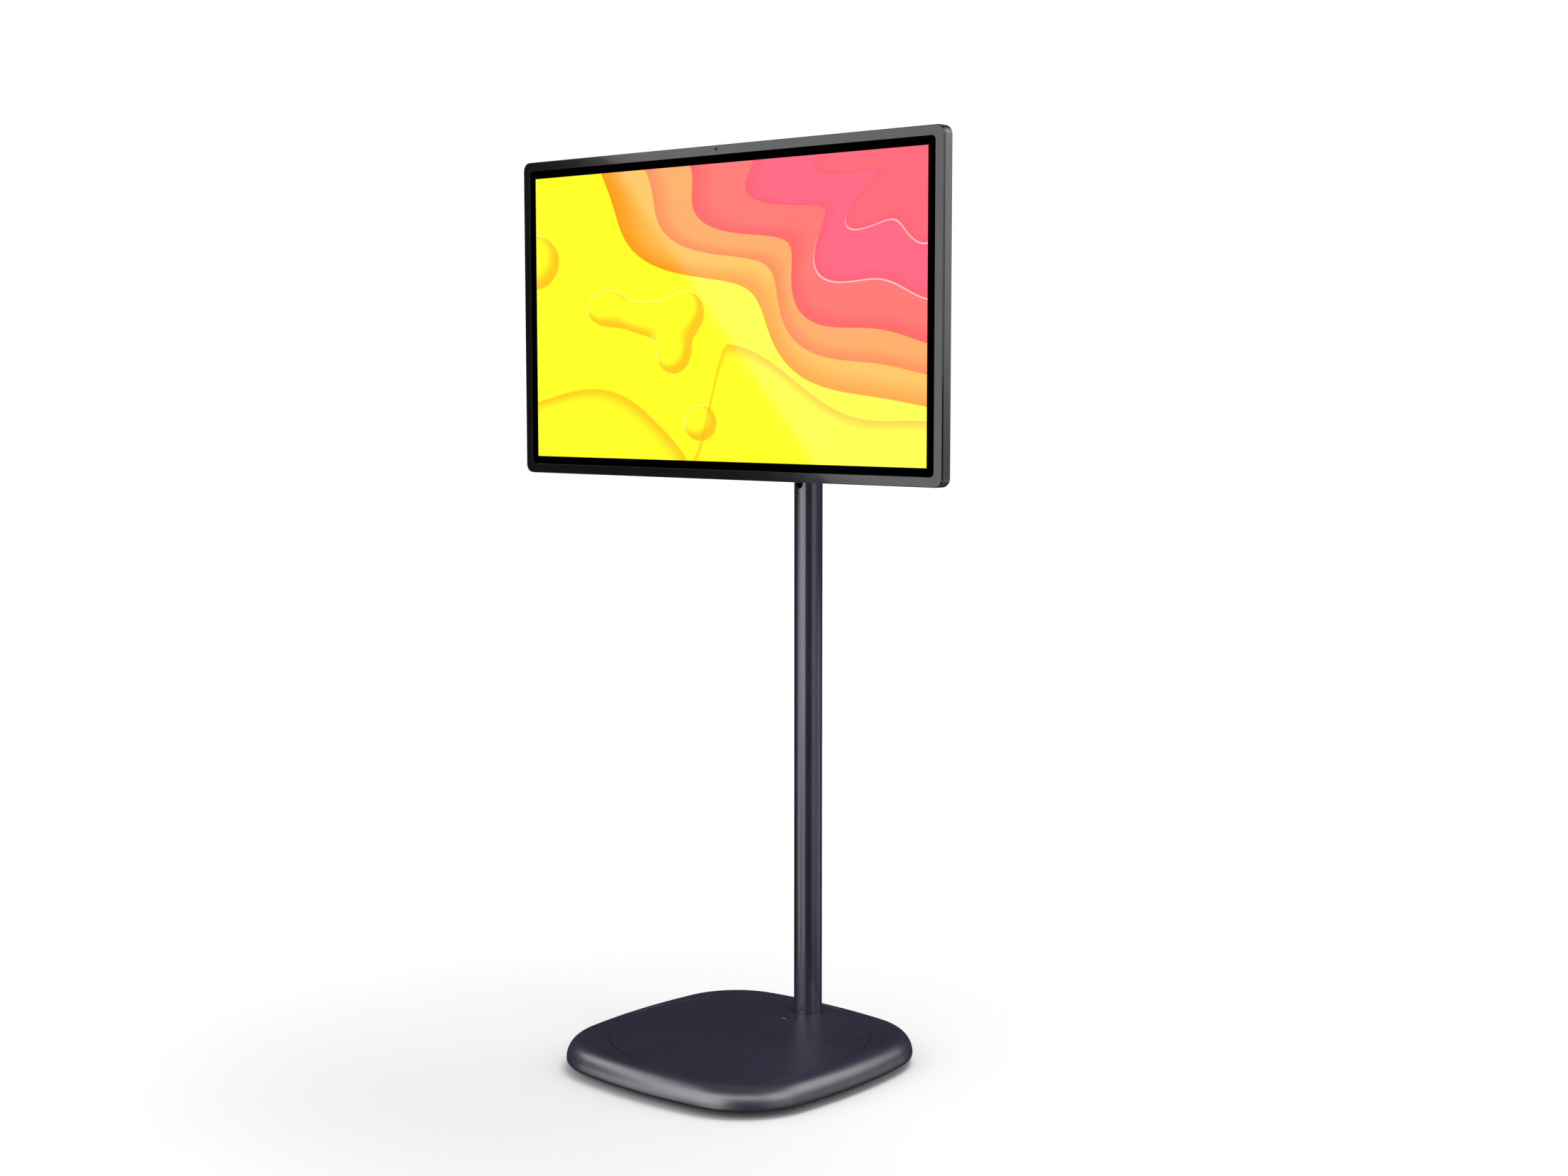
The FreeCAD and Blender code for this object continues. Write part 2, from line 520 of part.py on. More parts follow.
    sheet_blank = bowed_square("cover_blank", "shell_wall + fit_gap", "foot_height", "cover_thickness")
    entry = round_bar("cover_entry", "z", "cable_duct_radius", "foot_height - 1", f"{COVER_TOP} + 1",
                      y=POLE_Y)
    spots = four("(base_half - foot_inset)")
    holes = [round_bar(f"cover_hole{i}", "z", "screw_radius + fit_gap", "foot_height - 1", f"{COVER_TOP} + 1", x, y)
             for i, (x, y) in enumerate(spots)]
    keep(cut("bottom_cover_solid", sheet_blank, entry, *holes), "bottom_cover")
    posts, screws = [], []
    for i, (x, y) in enumerate(spots):
        post = round_bar(f"post{i}", "z", "boss_radius", COVER_TOP, BALLAST_BOTTOM, x, y)
        post_bore = round_bar(f"post_bore{i}", "z", "screw_radius", COVER_TOP, BALLAST_BOTTOM, x, y)
        posts.append(cut(f"standoff{i}", post, post_bore))
        screws.append(screw(f"foot_screw{i}", "z", "foot_height * 0.45", f"{COVER_TOP} + 6",
                            "screw_radius - 0.05", "screw_head_radius", "screw_head_height", x, y))
        foot = round_bar(f"foot_blank{i}", "z", "foot_radius", "0", "foot_height", x, y)
        counterbore = round_bar(f"foot_counterbore{i}", "z", "foot_bore", "0 - 1", "foot_height * 0.45", x, y)
        through = round_bar(f"foot_through{i}", "z", "screw_radius + fit_gap", "0", "foot_height + 1", x, y)
        keep(cut(f"foot_solid{i}", foot, counterbore, through),
             ("foot_front_left", "foot_rear_left", "foot_front_right", "foot_rear_right")[i])
    keep(group("standoffs_group", posts), "cover_standoffs")
    keep(group("foot_screws_group", screws), "foot_screws")


def make_button():
    """Push button in the base, with the switch under it."""
    top = f"({BUTTON_BOTTOM} + button_height)"
    shape = pill("button_pill", "button_length", "button_width", BUTTON_BOTTOM, top, y=BUTTON_Y)
    stem = round_bar("button_stem", "z", "stem_radius", f"{BUTTON_BOTTOM} - stem_length", BUTTON_BOTTOM, y=BUTTON_Y)
    keep(join("base_button_solid", shape, stem), "base_button")
    board_top = f"({POCKET_BOTTOM} + board_thickness)"
    keep(box("switch_board_solid", ("1 - pocket_length / 2", "pocket_length / 2 - 1"),
             (f"{BUTTON_Y} - pocket_width / 2 + 1", f"{BUTTON_Y} + pocket_width / 2 - 1"),
             (POCKET_BOTTOM, board_top)), "switch_board")
    switch = box("switch_blank", ("0 - switch_width / 2", "switch_width / 2"),
                 (f"{BUTTON_Y} - switch_width / 2", f"{BUTTON_Y} + switch_width / 2"),
                 (board_top, f"{board_top} + switch_height"))
    well = round_bar("switch_well", "z", "stem_radius + fit_gap", f"{board_top} + 0.4",
                     f"{board_top} + switch_height + 1", y=BUTTON_Y)
    keep(cut("button_switch_solid", switch, well), "button_switch")


def make_pole():
    """Tube with its cable outlet, and the plug that closes its top."""
    tube = round_bar("tube_blank", "z", "pole_radius", BALLAST_BOTTOM, "pole_top", y=POLE_Y)
    bore = round_bar("tube_bore", "z", "pole_radius - pole_wall", f"{BALLAST_BOTTOM} - 1", "pole_top + 1",
                     y=POLE_Y)
    outlet = round_bar("tube_outlet", "y", "cable_hole_radius", f"{POLE_Y} - pole_radius - 1", POLE_Y,
                       z="cable_hole_height")
    keep(cut("pole_tube_solid", tube, bore, outlet), "pole_tube")
    head = round_bar("cap_head", "z", "pole_radius", "pole_top", "pole_top + cap_thickness", y=POLE_Y)
    plug = round_bar("cap_plug", "z", "pole_radius - pole_wall - fit_gap", "pole_top - cap_depth", "pole_top",
                     y=POLE_Y)
    keep(join("pole_cap_solid", head, plug), "pole_cap")


def make_clamp():
    """Two halves round the pole, drawn together by four screws."""
    low, high = "(screen_height - clamp_tall / 2)", "(screen_height + clamp_tall / 2)"
    for side, label in ((-1, "clamp_front"), (1, "clamp_rear")):
        ring = round_bar(f"{label}_ring", "z", "pole_radius + clamp_wall", low, high, y=POLE_Y)
        split = f"({POLE_Y} + {side} * clamp_split / 2)"
        outer = f"({POLE_Y} + {side} * (clamp_ear_thickness + clamp_split / 2))"
        ears = box(f"{label}_ears", (f"0 - {CLAMP_EAR}", CLAMP_EAR), (outer, split) if side < 0 else (split, outer),
                   (low, high))
        parts = [ring, ears]
        if side < 0:
            parts.append(box("clamp_pad_block", ("0 - arm_plate_width / 2", "arm_plate_width / 2"),
                             (CLAMP_FRONT, f"{CLAMP_FRONT} + clamp_pad + pole_radius * 0.15"), (low, high)))
        bore = round_bar(f"{label}_bore", "z", "pole_radius + fit_gap", f"{low} - 1", f"{high} + 1", y=POLE_Y)
        other = ((split, f"{POLE_Y} + {CLAMP_EAR}") if side < 0 else (f"{POLE_Y} - {CLAMP_EAR}", split))
        away = box(f"{label}_away", (f"0 - {CLAMP_EAR} - 1", f"{CLAMP_EAR} + 1"), other, (f"{low} - 1", f"{high} + 1"))
        holes = [round_bar(f"{label}_hole{i}", "y", "screw_radius + fit_gap", f"{POLE_Y} - clamp_ear_thickness - 4",
                           f"{POLE_Y} + clamp_ear_thickness + 4", x, z=f"screen_height + {z}")
                 for i, (x, z) in enumerate(four("(pole_radius + clamp_screw_offset)", "clamp_screw_z"))]
        if side < 0:
            holes += [round_bar(f"clamp_arm_hole{i}", "y", "bolt_radius + fit_gap", f"{CLAMP_FRONT} - 1",
                                f"{CLAMP_FRONT} + arm_bolt_bite + 1", x, z=f"screen_height + {z}")
                      for i, (x, z) in enumerate(four("arm_bolt_x", "arm_bolt_z"))]
        keep(cut(f"{label}_solid", join(f"{label}_blank", *parts), bore, away, *holes), label)
    outer = f"({POLE_Y} + clamp_ear_thickness + clamp_split / 2)"
    screws = [screw(f"clamp_screw{i}", "y", outer, f"{POLE_Y} - clamp_ear_thickness", "screw_radius",
                    "screw_head_radius", "screw_head_height", x, z=f"screen_height + {z}")
              for i, (x, z) in enumerate(four("(pole_radius + clamp_screw_offset)", "clamp_screw_z"))]
    keep(group("clamp_screws_group", screws), "clamp_screws")


def make_arm():
    """Arm from the clamp to the tilt hinge, with its bolts and the hinge's pin, nut and washers."""
    plate = panel("arm_plate", "arm_plate_width", "arm_plate_tall", "6", ARM_PLATE_FRONT, CLAMP_FRONT)
    web = box("arm_web", (f"0 - {EAR_OUTSIDE}", EAR_OUTSIDE), (WEB_FRONT, f"{ARM_PLATE_FRONT} + 1"),
              ("screen_height - knuckle_radius", "screen_height + knuckle_radius"))
    parts, bores = [plate, web], []
    for side in (-1, 1):
        ends = sorted((f"{side} * {EAR_INSIDE}", f"{side} * {EAR_OUTSIDE}"), key=size_of)
        parts.append(box(f"arm_ear{side + 1}", ends, (TILT_Y, f"{WEB_FRONT} + 1"),
                         ("screen_height - knuckle_radius", "screen_height + knuckle_radius")))
        parts.append(round_bar(f"arm_eye{side + 1}", "x", "knuckle_radius", *ends, y=TILT_Y, z="screen_height"))
    bores.append(round_bar("arm_pin_bore", "x", "tilt_pin_radius + 0.02", f"0 - {EAR_OUTSIDE} - 1",
                           f"{EAR_OUTSIDE} + 1", y=TILT_Y, z="screen_height"))
    spots = four("arm_bolt_x", "arm_bolt_z")
    bores += [round_bar(f"arm_bolt_way{i}", "y", "bolt_radius + fit_gap", f"{ARM_PLATE_FRONT} - 1",
                        f"{CLAMP_FRONT} + 1", x, z=f"screen_height + {z}") for i, (x, z) in enumerate(spots)]
    keep(cut("support_arm_solid", join("arm_blank", *parts), *bores), "support_arm")
    bolts = [screw(f"arm_bolt{i}", "y", ARM_PLATE_FRONT, f"{CLAMP_FRONT} + arm_bolt_bite", "bolt_radius",
                   "bolt_head_radius", "bolt_head_height", x, z=f"screen_height + {z}")
             for i, (x, z) in enumerate(spots)]
    keep(group("arm_bolts_group", bolts), "arm_bolts")
    keep(screw("tilt_pin_solid", "x", EAR_OUTSIDE, f"0 - {EAR_OUTSIDE} - tilt_head_height - 2", "tilt_pin_radius",
               "tilt_head_radius", "tilt_head_height", y=TILT_Y, z="screen_height"), "tilt_pin")
    nut = round_bar("nut_blank", "x", "tilt_head_radius", f"0 - {EAR_OUTSIDE} - tilt_head_height",
                    f"0 - {EAR_OUTSIDE}", y=TILT_Y, z="screen_height", kind="Part::Prism")
    nut_bore = round_bar("nut_bore", "x", "tilt_pin_radius + 0.02", f"0 - {EAR_OUTSIDE} - tilt_head_height - 1",
                         f"1 - {EAR_OUTSIDE}", y=TILT_Y, z="screen_height")
    keep(cut("tilt_nut_solid", nut, nut_bore), "tilt_nut")
    washers = []
    for side in (-1, 1):
        ends = sorted((f"{side} * (knuckle_half + friction_gap)",
                       f"{side} * (knuckle_half + friction_gap + washer_thickness)"), key=size_of)
        disc = round_bar(f"washer_disc{side + 1}", "x", "washer_radius", *ends, y=TILT_Y, z="screen_height")
        hole = round_bar(f"washer_hole{side + 1}", "x", "tilt_pin_radius + running_gap", f"{ends[0]} - 1",
                         f"{ends[1]} + 1", y=TILT_Y, z="screen_height")
        washers.append(cut(f"washer{side + 1}", disc, hole))
    keep(group("tilt_washers_group", washers), "tilt_washers")


def make_head():
    """Tilt knuckle with its flange, and the spindle on which the display turns."""
    barrel = round_bar("knuckle_barrel", "x", "knuckle_radius", "0 - knuckle_half", "knuckle_half",
                       y=TILT_Y, z="screen_height")
    neck = box("knuckle_neck", ("0 - knuckle_half", "knuckle_half"), (f"{HEAD_BACK} - 1", TILT_Y),
               ("screen_height - neck_half", "screen_height + neck_half"))
    flange = round_bar("knuckle_flange", "y", "hub_radius", HEAD_FRONT, HEAD_BACK, z="screen_height")
    pin_bore = round_bar("knuckle_bore", "x", "tilt_pin_radius + running_gap", "0 - knuckle_half - 1",
                         "knuckle_half + 1", y=TILT_Y, z="screen_height")
    stop_z = "screen_height + stop_circle"
    seat = round_bar("flange_seat", "y", "spindle_radius + 0.02", f"{HEAD_FRONT} - 1", HEAD_BACK, z="screen_height")
    stop_seat = round_bar("stop_seat", "y", "stop_radius + 0.02", f"{HEAD_FRONT} - 1", f"{HEAD_BACK} + 1", z=stop_z)
    keep(cut("tilt_knuckle_solid", join("knuckle_blank", barrel, neck, flange), pin_bore, seat, stop_seat),
         "tilt_knuckle")
    keep(round_bar("spindle_solid", "y", "spindle_radius", RETAINER_BACK, HEAD_BACK, z="screen_height"),
         "pivot_spindle")
    keep(round_bar("retainer_solid", "y", "retainer_radius", RETAINER_FRONT, RETAINER_BACK, z="screen_height"),
         "pivot_retainer")
    keep(round_bar("stop_pin_solid", "y", "stop_radius", f"{HUB_BACK} - stop_depth + 1", HEAD_BACK, z=stop_z),
         "pivot_stop_pin")
    disc = round_bar("friction_blank", "y", "hub_radius - 1", f"{HUB_BACK} + friction_gap", FRICTION_BACK,
                     z="screen_height")
    disc_bore = round_bar("friction_bore", "y", "spindle_radius + running_gap", HUB_BACK, HEAD_FRONT,
                          z="screen_height")
    disc_stop = round_bar("friction_stop", "y", "stop_radius + fit_gap", HUB_BACK, HEAD_FRONT, z=stop_z)
    keep(cut("friction_solid", disc, disc_bore, disc_stop), "friction_disc")


def make_mounting():
    """Plate and pivot hub on the display's back, with their screws."""
    plate = panel("vesa_blank", "vesa_width", "vesa_width", "vesa_corner", BUMP_BACK, VESA_BACK, None, "1")
    way = round_bar("vesa_way", "y", "spindle_radius + running_gap", f"{BUMP_BACK} - 1", f"{VESA_BACK} + 1",
                    z="screen_height")
    spots = four("vesa_spacing / 2")
    holes = [round_bar(f"vesa_hole{i}", "y", "screw_radius + fit_gap", f"{BUMP_BACK} - 1", f"{VESA_BACK} + 1", x,
                       z=f"screen_height + {z}") for i, (x, z) in enumerate(spots)]
    keep(cut("vesa_solid", plate, way, *holes), "vesa_plate")
    screws = [screw(f"vesa_screw{i}", "y", VESA_BACK, f"{BUMP_BACK} - vesa_bite", "screw_radius",
                    "screw_head_radius", "screw_head_height", x, z=f"screen_height + {z}")
              for i, (x, z) in enumerate(spots)]
    keep(group("vesa_screws_group", screws), "vesa_screws")
    hub = round_bar("hub_blank", "y", "hub_radius", VESA_BACK, HUB_BACK, z="screen_height")
    hub_bore = round_bar("hub_bore", "y", "spindle_radius + running_gap", f"{VESA_BACK} - 1", f"{HUB_BACK} + 1",
                         z="screen_height")
    track = round_bar("stop_track_outer", "y", "stop_circle + stop_radius + 0.4", f"{HUB_BACK} - stop_depth",
                      f"{HUB_BACK} + 1", z="screen_height")
    core = round_bar("stop_track_core", "y", "stop_circle - stop_radius - 0.4", f"{HUB_BACK} - stop_depth - 1",
                     f"{HUB_BACK} + 2", z="screen_height")
    lane = "(stop_radius + 0.6)"
    quarter = box("stop_track_quarter", (f"0 - {lane}", "hub_radius + 1"),
                  (f"{HUB_BACK} - stop_depth - 1", f"{HUB_BACK} + 2"),
                  (f"screen_height - {lane}", "screen_height + hub_radius + 1"))
    lanes = doc.addObject("Part::Common", "stop_track")
    lanes.Base, lanes.Tool = cut("stop_track_ring", track, core), quarter
    keep(cut("hub_solid", hub, hub_bore, lanes), "pivot_hub")


def key_places():
    """The keys on the housing's back: body name, length and height above the display's middle."""
    return (("power_key", "key_length", "screen_height + 40"), ("volume_rocker", "rocker_length", "screen_height - 6"))


def make_rear_cover():
    """Flat back with side walls, and the electronics housing that stands out of it."""
    side = "(0 - key_aside)"
    tray = panel("tray_outside", f"{SCREEN_WIDTH} - 2 * {COVER_GAP}", f"{SCREEN_TALL} - 2 * {COVER_GAP}",
                 f"screen_corner - {COVER_GAP}", BAND_FRONT, EDGE_BACK, None, "1")
    tray_in = panel("tray_inside", f"{SCREEN_WIDTH} - 2 * {COVER_GAP} - 2 * cover_wall",
                    f"{SCREEN_TALL} - 2 * {COVER_GAP} - 2 * cover_wall",
                    f"screen_corner - {COVER_GAP} - cover_wall", f"{BAND_FRONT} - 1", FLAT_INSIDE)
    bump = panel("bump_outside", "bump_width", "bump_tall", "bump_corner", FLAT_INSIDE, BUMP_BACK, None,
                 "bump_rounding")
    bump_in = panel("bump_inside", "bump_width - 2 * back_wall", "bump_tall - 2 * back_wall",
                    "bump_corner - back_wall", f"{FLAT_INSIDE} - 1", BUMP_INSIDE, None, "bump_rounding - back_wall")
    dish = round_bar("retainer_dish", "y", "retainer_radius + 5.5", f"{RETAINER_FRONT} - retainer_gap - back_wall",
                     BUMP_BACK, z="screen_height")
    dish_in = round_bar("retainer_room", "y", "retainer_radius + 3", f"{RETAINER_FRONT} - retainer_gap",
                        f"{BUMP_BACK} + 1", z="screen_height")
    spots = four("vesa_spacing / 2")
    bosses = [round_bar(f"vesa_boss{i}", "y", "boss_radius", f"{BUMP_BACK} - vesa_bite - 1", f"{BUMP_BACK} - 1", x,
                        z=f"screen_height + {z}") for i, (x, z) in enumerate(spots)]
    boss_bores = [round_bar(f"vesa_bore{i}", "y", "screw_radius + 0.02", f"{BUMP_BACK} - vesa_bite - 2",
                            f"{BUMP_BACK} + 1", x, z=f"screen_height + {z}") for i, (x, z) in enumerate(spots)]
    port_window = box("port_window", ("0 - port_width / 2 - fit_gap", "port_width / 2 + fit_gap"),
                      (f"{FLAT_INSIDE} + 1", f"{FLAT_INSIDE} + 1 + port_depth + 2 * fit_gap"),
                      (f"{BUMP_LOW} - 1", f"{BUMP_LOW} + back_wall + 1"))
    keyways = []
    for label, length, z in key_places():
        keyways.append(box(label + "_way", (f"{side} - key_width / 2 - key_gap", f"{side} + key_width / 2 + key_gap"),
                           (f"{BUMP_INSIDE} - 1", f"{BUMP_BACK} + 1"),
                           (f"{z} - {length} / 2 - key_gap", f"{z} + {length} / 2 + key_gap")))
    slots = []
    for i in range(VENT_SLOTS):
        x = f"(({i} - {(VENT_SLOTS - 1) / 2}) * slot_pitch)"
        slots.append(box(f"vent{i}", (f"{x} - slot_width / 2", f"{x} + slot_width / 2"),
                         (f"{FLAT_INSIDE} + 5", f"{BUMP_BACK} - bump_rounding"),
                         (f"{BUMP_TOP} - back_wall - 1", f"{BUMP_TOP} + 1")))
    for hand in (-1, 1):
        for i in range(SPEAKER_SLOTS):
            x = f"({hand} * speaker_aside + ({i} - {(SPEAKER_SLOTS - 1) / 2}) * slot_pitch)"
            slots.append(box(f"speaker_slot{hand + 1}_{i}", (f"{x} - slot_width / 2", f"{x} + slot_width / 2"),
                             (f"{FLAT_INSIDE} + 5", f"{BUMP_BACK} - bump_rounding"),
                             (f"{BUMP_LOW} - 1", f"{BUMP_LOW} + back_wall + 1")))
    screw_spots = cover_screw_places()
    ways = [round_bar(f"cover_screw_way{i}", "y", "screw_head_radius + fit_gap", f"{EDGE_BACK} - 1.2",
                      f"{EDGE_BACK} + 1", x, z=z) for i, (x, z) in enumerate(screw_spots)]
    ways += [round_bar(f"cover_screw_bore{i}", "y", "screw_radius * 0.75 + fit_gap", f"{FLAT_INSIDE} - 1",
                       f"{EDGE_BACK} + 1", x, z=z) for i, (x, z) in enumerate(screw_spots)]
    hollow = cut("cover_hollow", join("cover_blank", tray, bump), tray_in, bump_in)
    filled = join("cover_filled", hollow, dish, *bosses)
    keep(cut("rear_cover_solid", filled, dish_in, port_window, *boss_bores, *keyways, *slots, *ways), "rear_cover")
    screws = [screw(f"cover_screw{i}", "y", f"{EDGE_BACK} - 1.2", f"{LIGHT_BACK} + 0.1", "screw_radius * 0.75",
                    "screw_head_radius", "1", x, z=z) for i, (x, z) in enumerate(screw_spots)]
    keep(group("cover_screws_group", screws), "rear_cover_screws")
    for label, length, z in key_places():
        head = box(label + "_head", (f"{side} - key_width / 2", f"{side} + key_width / 2"),
                   (BUMP_INSIDE, f"{BUMP_BACK} + key_proud"), (f"{z} - {length} / 2", f"{z} + {length} / 2"))
        foot = box(label + "_foot", (f"{side} - key_width / 2 - 1", f"{side} + key_width / 2 + 1"),
                   (f"{BUMP_INSIDE} - key_gap - 1.2", f"{BUMP_INSIDE} - key_gap"),
                   (f"{z} - {length} / 2 - 1", f"{z} + {length} / 2 + 1"))
        web = box(label + "_web", (f"{side} - key_width / 2", f"{side} + key_width / 2"),
                  (f"{BUMP_INSIDE} - key_gap - 1", f"{BUMP_INSIDE} + 1"), (f"{z} - {length} / 2", f"{z} + {length} / 2"))
        keep(join(label + "_solid", head, foot, web), label)


def cover_screw_places():
    """Screws near the edge of the flat back."""
    inset = "(bezel_width + 8)"
    across, up = f"({SCREEN_WIDTH} / 2 - {inset})", f"({SCREEN_TALL} / 2 - {inset})"
    places = [(f"({a} * {across})", f"(screen_height + {b} * {up})") for a in (-1, 1) for b in (-1, 0, 1)]
    middle = "(rail_spread - middle_screw_offset)"
    return places + [(f"({a} * {middle})", f"(screen_height + {b} * {up})") for a in (-1, 1) for b in (-1, 1)]


def frame(name, label, width, tall, corner, ring, opening, front, back, opening_corner, **edges):
    """A flat frame: a panel without a rectangular opening and the extra cutters."""
    outside = panel(name + "_outside", width, tall, corner, front, back, **edges)
    inside = panel(name + "_opening", *opening, opening_corner, f"{front} - 1", f"{back} + 1")
    return keep(cut(name, outside, inside, *ring), label)


def make_front():
    """Everything seen from the front: band, bezel, mask, glass and camera window."""
    open_wide, open_tall = f"({SCREEN_WIDTH} - 2 * bezel_width)", f"({SCREEN_TALL} - 2 * bezel_width)"
    frame("band", "side_band", SCREEN_WIDTH, SCREEN_TALL, "screen_corner", [],
          (f"{SCREEN_WIDTH} - 2 * band_wall", f"{SCREEN_TALL} - 2 * band_wall"), BAND_FRONT, EDGE_BACK,
          "screen_corner - band_wall", front_rounding="0.5", back_rounding="band_rounding")
    window = round_bar("camera_window", "y", "camera_radius + 0.05", f"{FRONT} - 1", f"{BEZEL_BACK} + 1",
                       z=CAMERA_Z)
    frame("bezel", "front_bezel", f"{SCREEN_WIDTH} - 2 * bezel_inset", f"{SCREEN_TALL} - 2 * bezel_inset",
          "screen_corner - bezel_inset", [window], (open_wide, open_tall), FRONT, BEZEL_BACK, "bezel_corner",
          front_rounding="0.5")
    frame("mask", "black_mask", f"{open_wide} - 2 * fit_gap", f"{open_tall} - 2 * fit_gap",
          "bezel_corner - fit_gap", [], ("active_width", "active_tall"), MASK_FRONT, GLASS_FRONT, None)
    keep(panel("touch_glass_solid", f"{open_wide} - 2 * fit_gap", f"{open_tall} - 2 * fit_gap",
               "bezel_corner - fit_gap", GLASS_FRONT, f"{GLASS_FRONT} + glass_thickness"), "touch_glass")
    keep(round_bar("lens_solid", "y", "camera_radius", f"{FRONT} + 0.2", BEZEL_BACK, z=CAMERA_Z), "camera_lens")
    keep(box("camera_solid", ("0 - camera_width / 2", "camera_width / 2"),
             (f"{BEZEL_BACK} + 0.1", f"{BEZEL_BACK} + 0.1 + camera_depth"),
             (f"{CAMERA_Z} - camera_half", f"{CAMERA_Z} + camera_half")), "camera_module")


def make_inside():
    """Panel, backlight, rails, boards, speakers and the panel of sockets."""
    wide, tall = "(active_width + 2 * panel_margin)", "(active_tall + 2 * panel_margin)"
    keep(panel("lcd_solid", wide, tall, None, PANEL_FRONT, LIGHT_FRONT), "lcd_panel")
    keep(panel("backlight_solid", wide, tall, "2", LIGHT_FRONT, LIGHT_BACK), "backlight_unit")
    rails = [box(f"rail{i}", (f"{side} * rail_spread - rail_width / 2", f"{side} * rail_spread + rail_width / 2"),
                 (LIGHT_BACK, FLAT_INSIDE), (f"screen_height - {tall} / 2", f"screen_height + {tall} / 2"))
             for i, side in enumerate((-1, 1))]
    keep(group("rails_group", rails), "panel_rails")
    boards = (("main_board", "0 - 40", "150", "screen_height + 62", "90"),
              ("power_board", "0 + 105", "100", "screen_height + 40", "130"),
              ("touch_board", "0 - 60", "90", "screen_height - 62", "40"))
    posts = []
    for label, x, width, z, tall_board in boards:
        keep(box(label + "_solid", (f"{x} - {width} / 2", f"{x} + {width} / 2"), (BOARD_FRONT, BOARD_BACK),
                 (f"{z} - {tall_board} / 2", f"{z} + {tall_board} / 2")), label)
        for i, (a, b) in enumerate(four(f"({width} / 2 - 5)", f"({tall_board} / 2 - 5)")):
            posts.append(round_bar(f"{label}_post{i}", "y", "3", BOARD_BACK, BUMP_INSIDE, f"{x} + {a}",
                                   z=f"{z} + {b}"))
    keep(group("board_posts_group", posts), "board_posts")
    for hand, label in ((-1, "speaker_left"), (1, "speaker_right")):
        x = f"({hand} * speaker_aside)"
        keep(box(label + "_solid", (f"{x} - speaker_width / 2 + 12", f"{x} + speaker_width / 2 - 12"),
                 (f"{FLAT_INSIDE} + 1", f"{BUMP_INSIDE} - bump_rounding / 2"),
                 (f"{BUMP_LOW} + back_wall + 0.6", f"{BUMP_LOW} + back_wall + speaker_tall")), label)
    port_y = (f"({FLAT_INSIDE} + 1 + fit_gap)", f"({FLAT_INSIDE} + 1 + fit_gap + port_depth)")
    block = box("port_block", ("0 - port_width / 2", "port_width / 2"), port_y,
                (f"{BUMP_LOW} + 0.5", f"{BUMP_LOW} + port_tall"))
    middle = f"(({port_y[0]} + {port_y[1]}) / 2)"
    jack = round_bar("jack_bore", "z", "jack_radius", f"{BUMP_LOW} - 1", f"{BUMP_LOW} + 0.5 + socket_tall",
                     "0 - port_width * 0.33", middle)
    sockets = [box(f"socket{i}", (f"{x} - socket_width / 2", f"{x} + socket_width / 2"),
                   (f"{middle} - socket_depth / 2", f"{middle} + socket_depth / 2"),
                   (f"{BUMP_LOW} - 1", f"{BUMP_LOW} + 0.5 + socket_tall"))
               for i, x in enumerate(("(0 - port_width * 0.02)", "(port_width * 0.3)"))]
    pin = round_bar("jack_pin", "z", "jack_pin_radius", f"{BUMP_LOW} + 1.5", f"{BUMP_LOW} + 1 + socket_tall",
                    "0 - port_width * 0.33", middle)
    keep(join("port_solid", cut("port_drilled", block, jack, *sockets), pin), "port_panel")


def write_parts():
    """Checks every object and writes each sub-part's file."""
    doc.recompute()
    for thing in doc.Objects:
        if "Invalid" in thing.State or "Error" in thing.State:
            raise RuntimeError(f"{thing.Name} failed: {thing.State}")
    os.makedirs("parts", exist_ok=True)
    for thing in kept:
        shape = thing.Shape
        if shape.isNull() or not shape.isValid() or not shape.Solids:
            raise RuntimeError(f"{thing.Label} has no sound shape")
        shape.exportStep(f"parts/{thing.Label}.step")
        span = shape.BoundBox
        print(f"{thing.Label:18} {len(shape.Solids)} solids, {shape.Volume / 1000:9.2f} cm3, "
              f"x {span.XMin:.1f} {span.XMax:.1f}  y {span.YMin:.1f} {span.YMax:.1f}  z {span.ZMin:.1f} {span.ZMax:.1f}")


make_base()
make_button()
make_pole()
make_clamp()
make_arm()
make_head()
make_mounting()
make_rear_cover()
make_front()
make_inside()
write_parts()
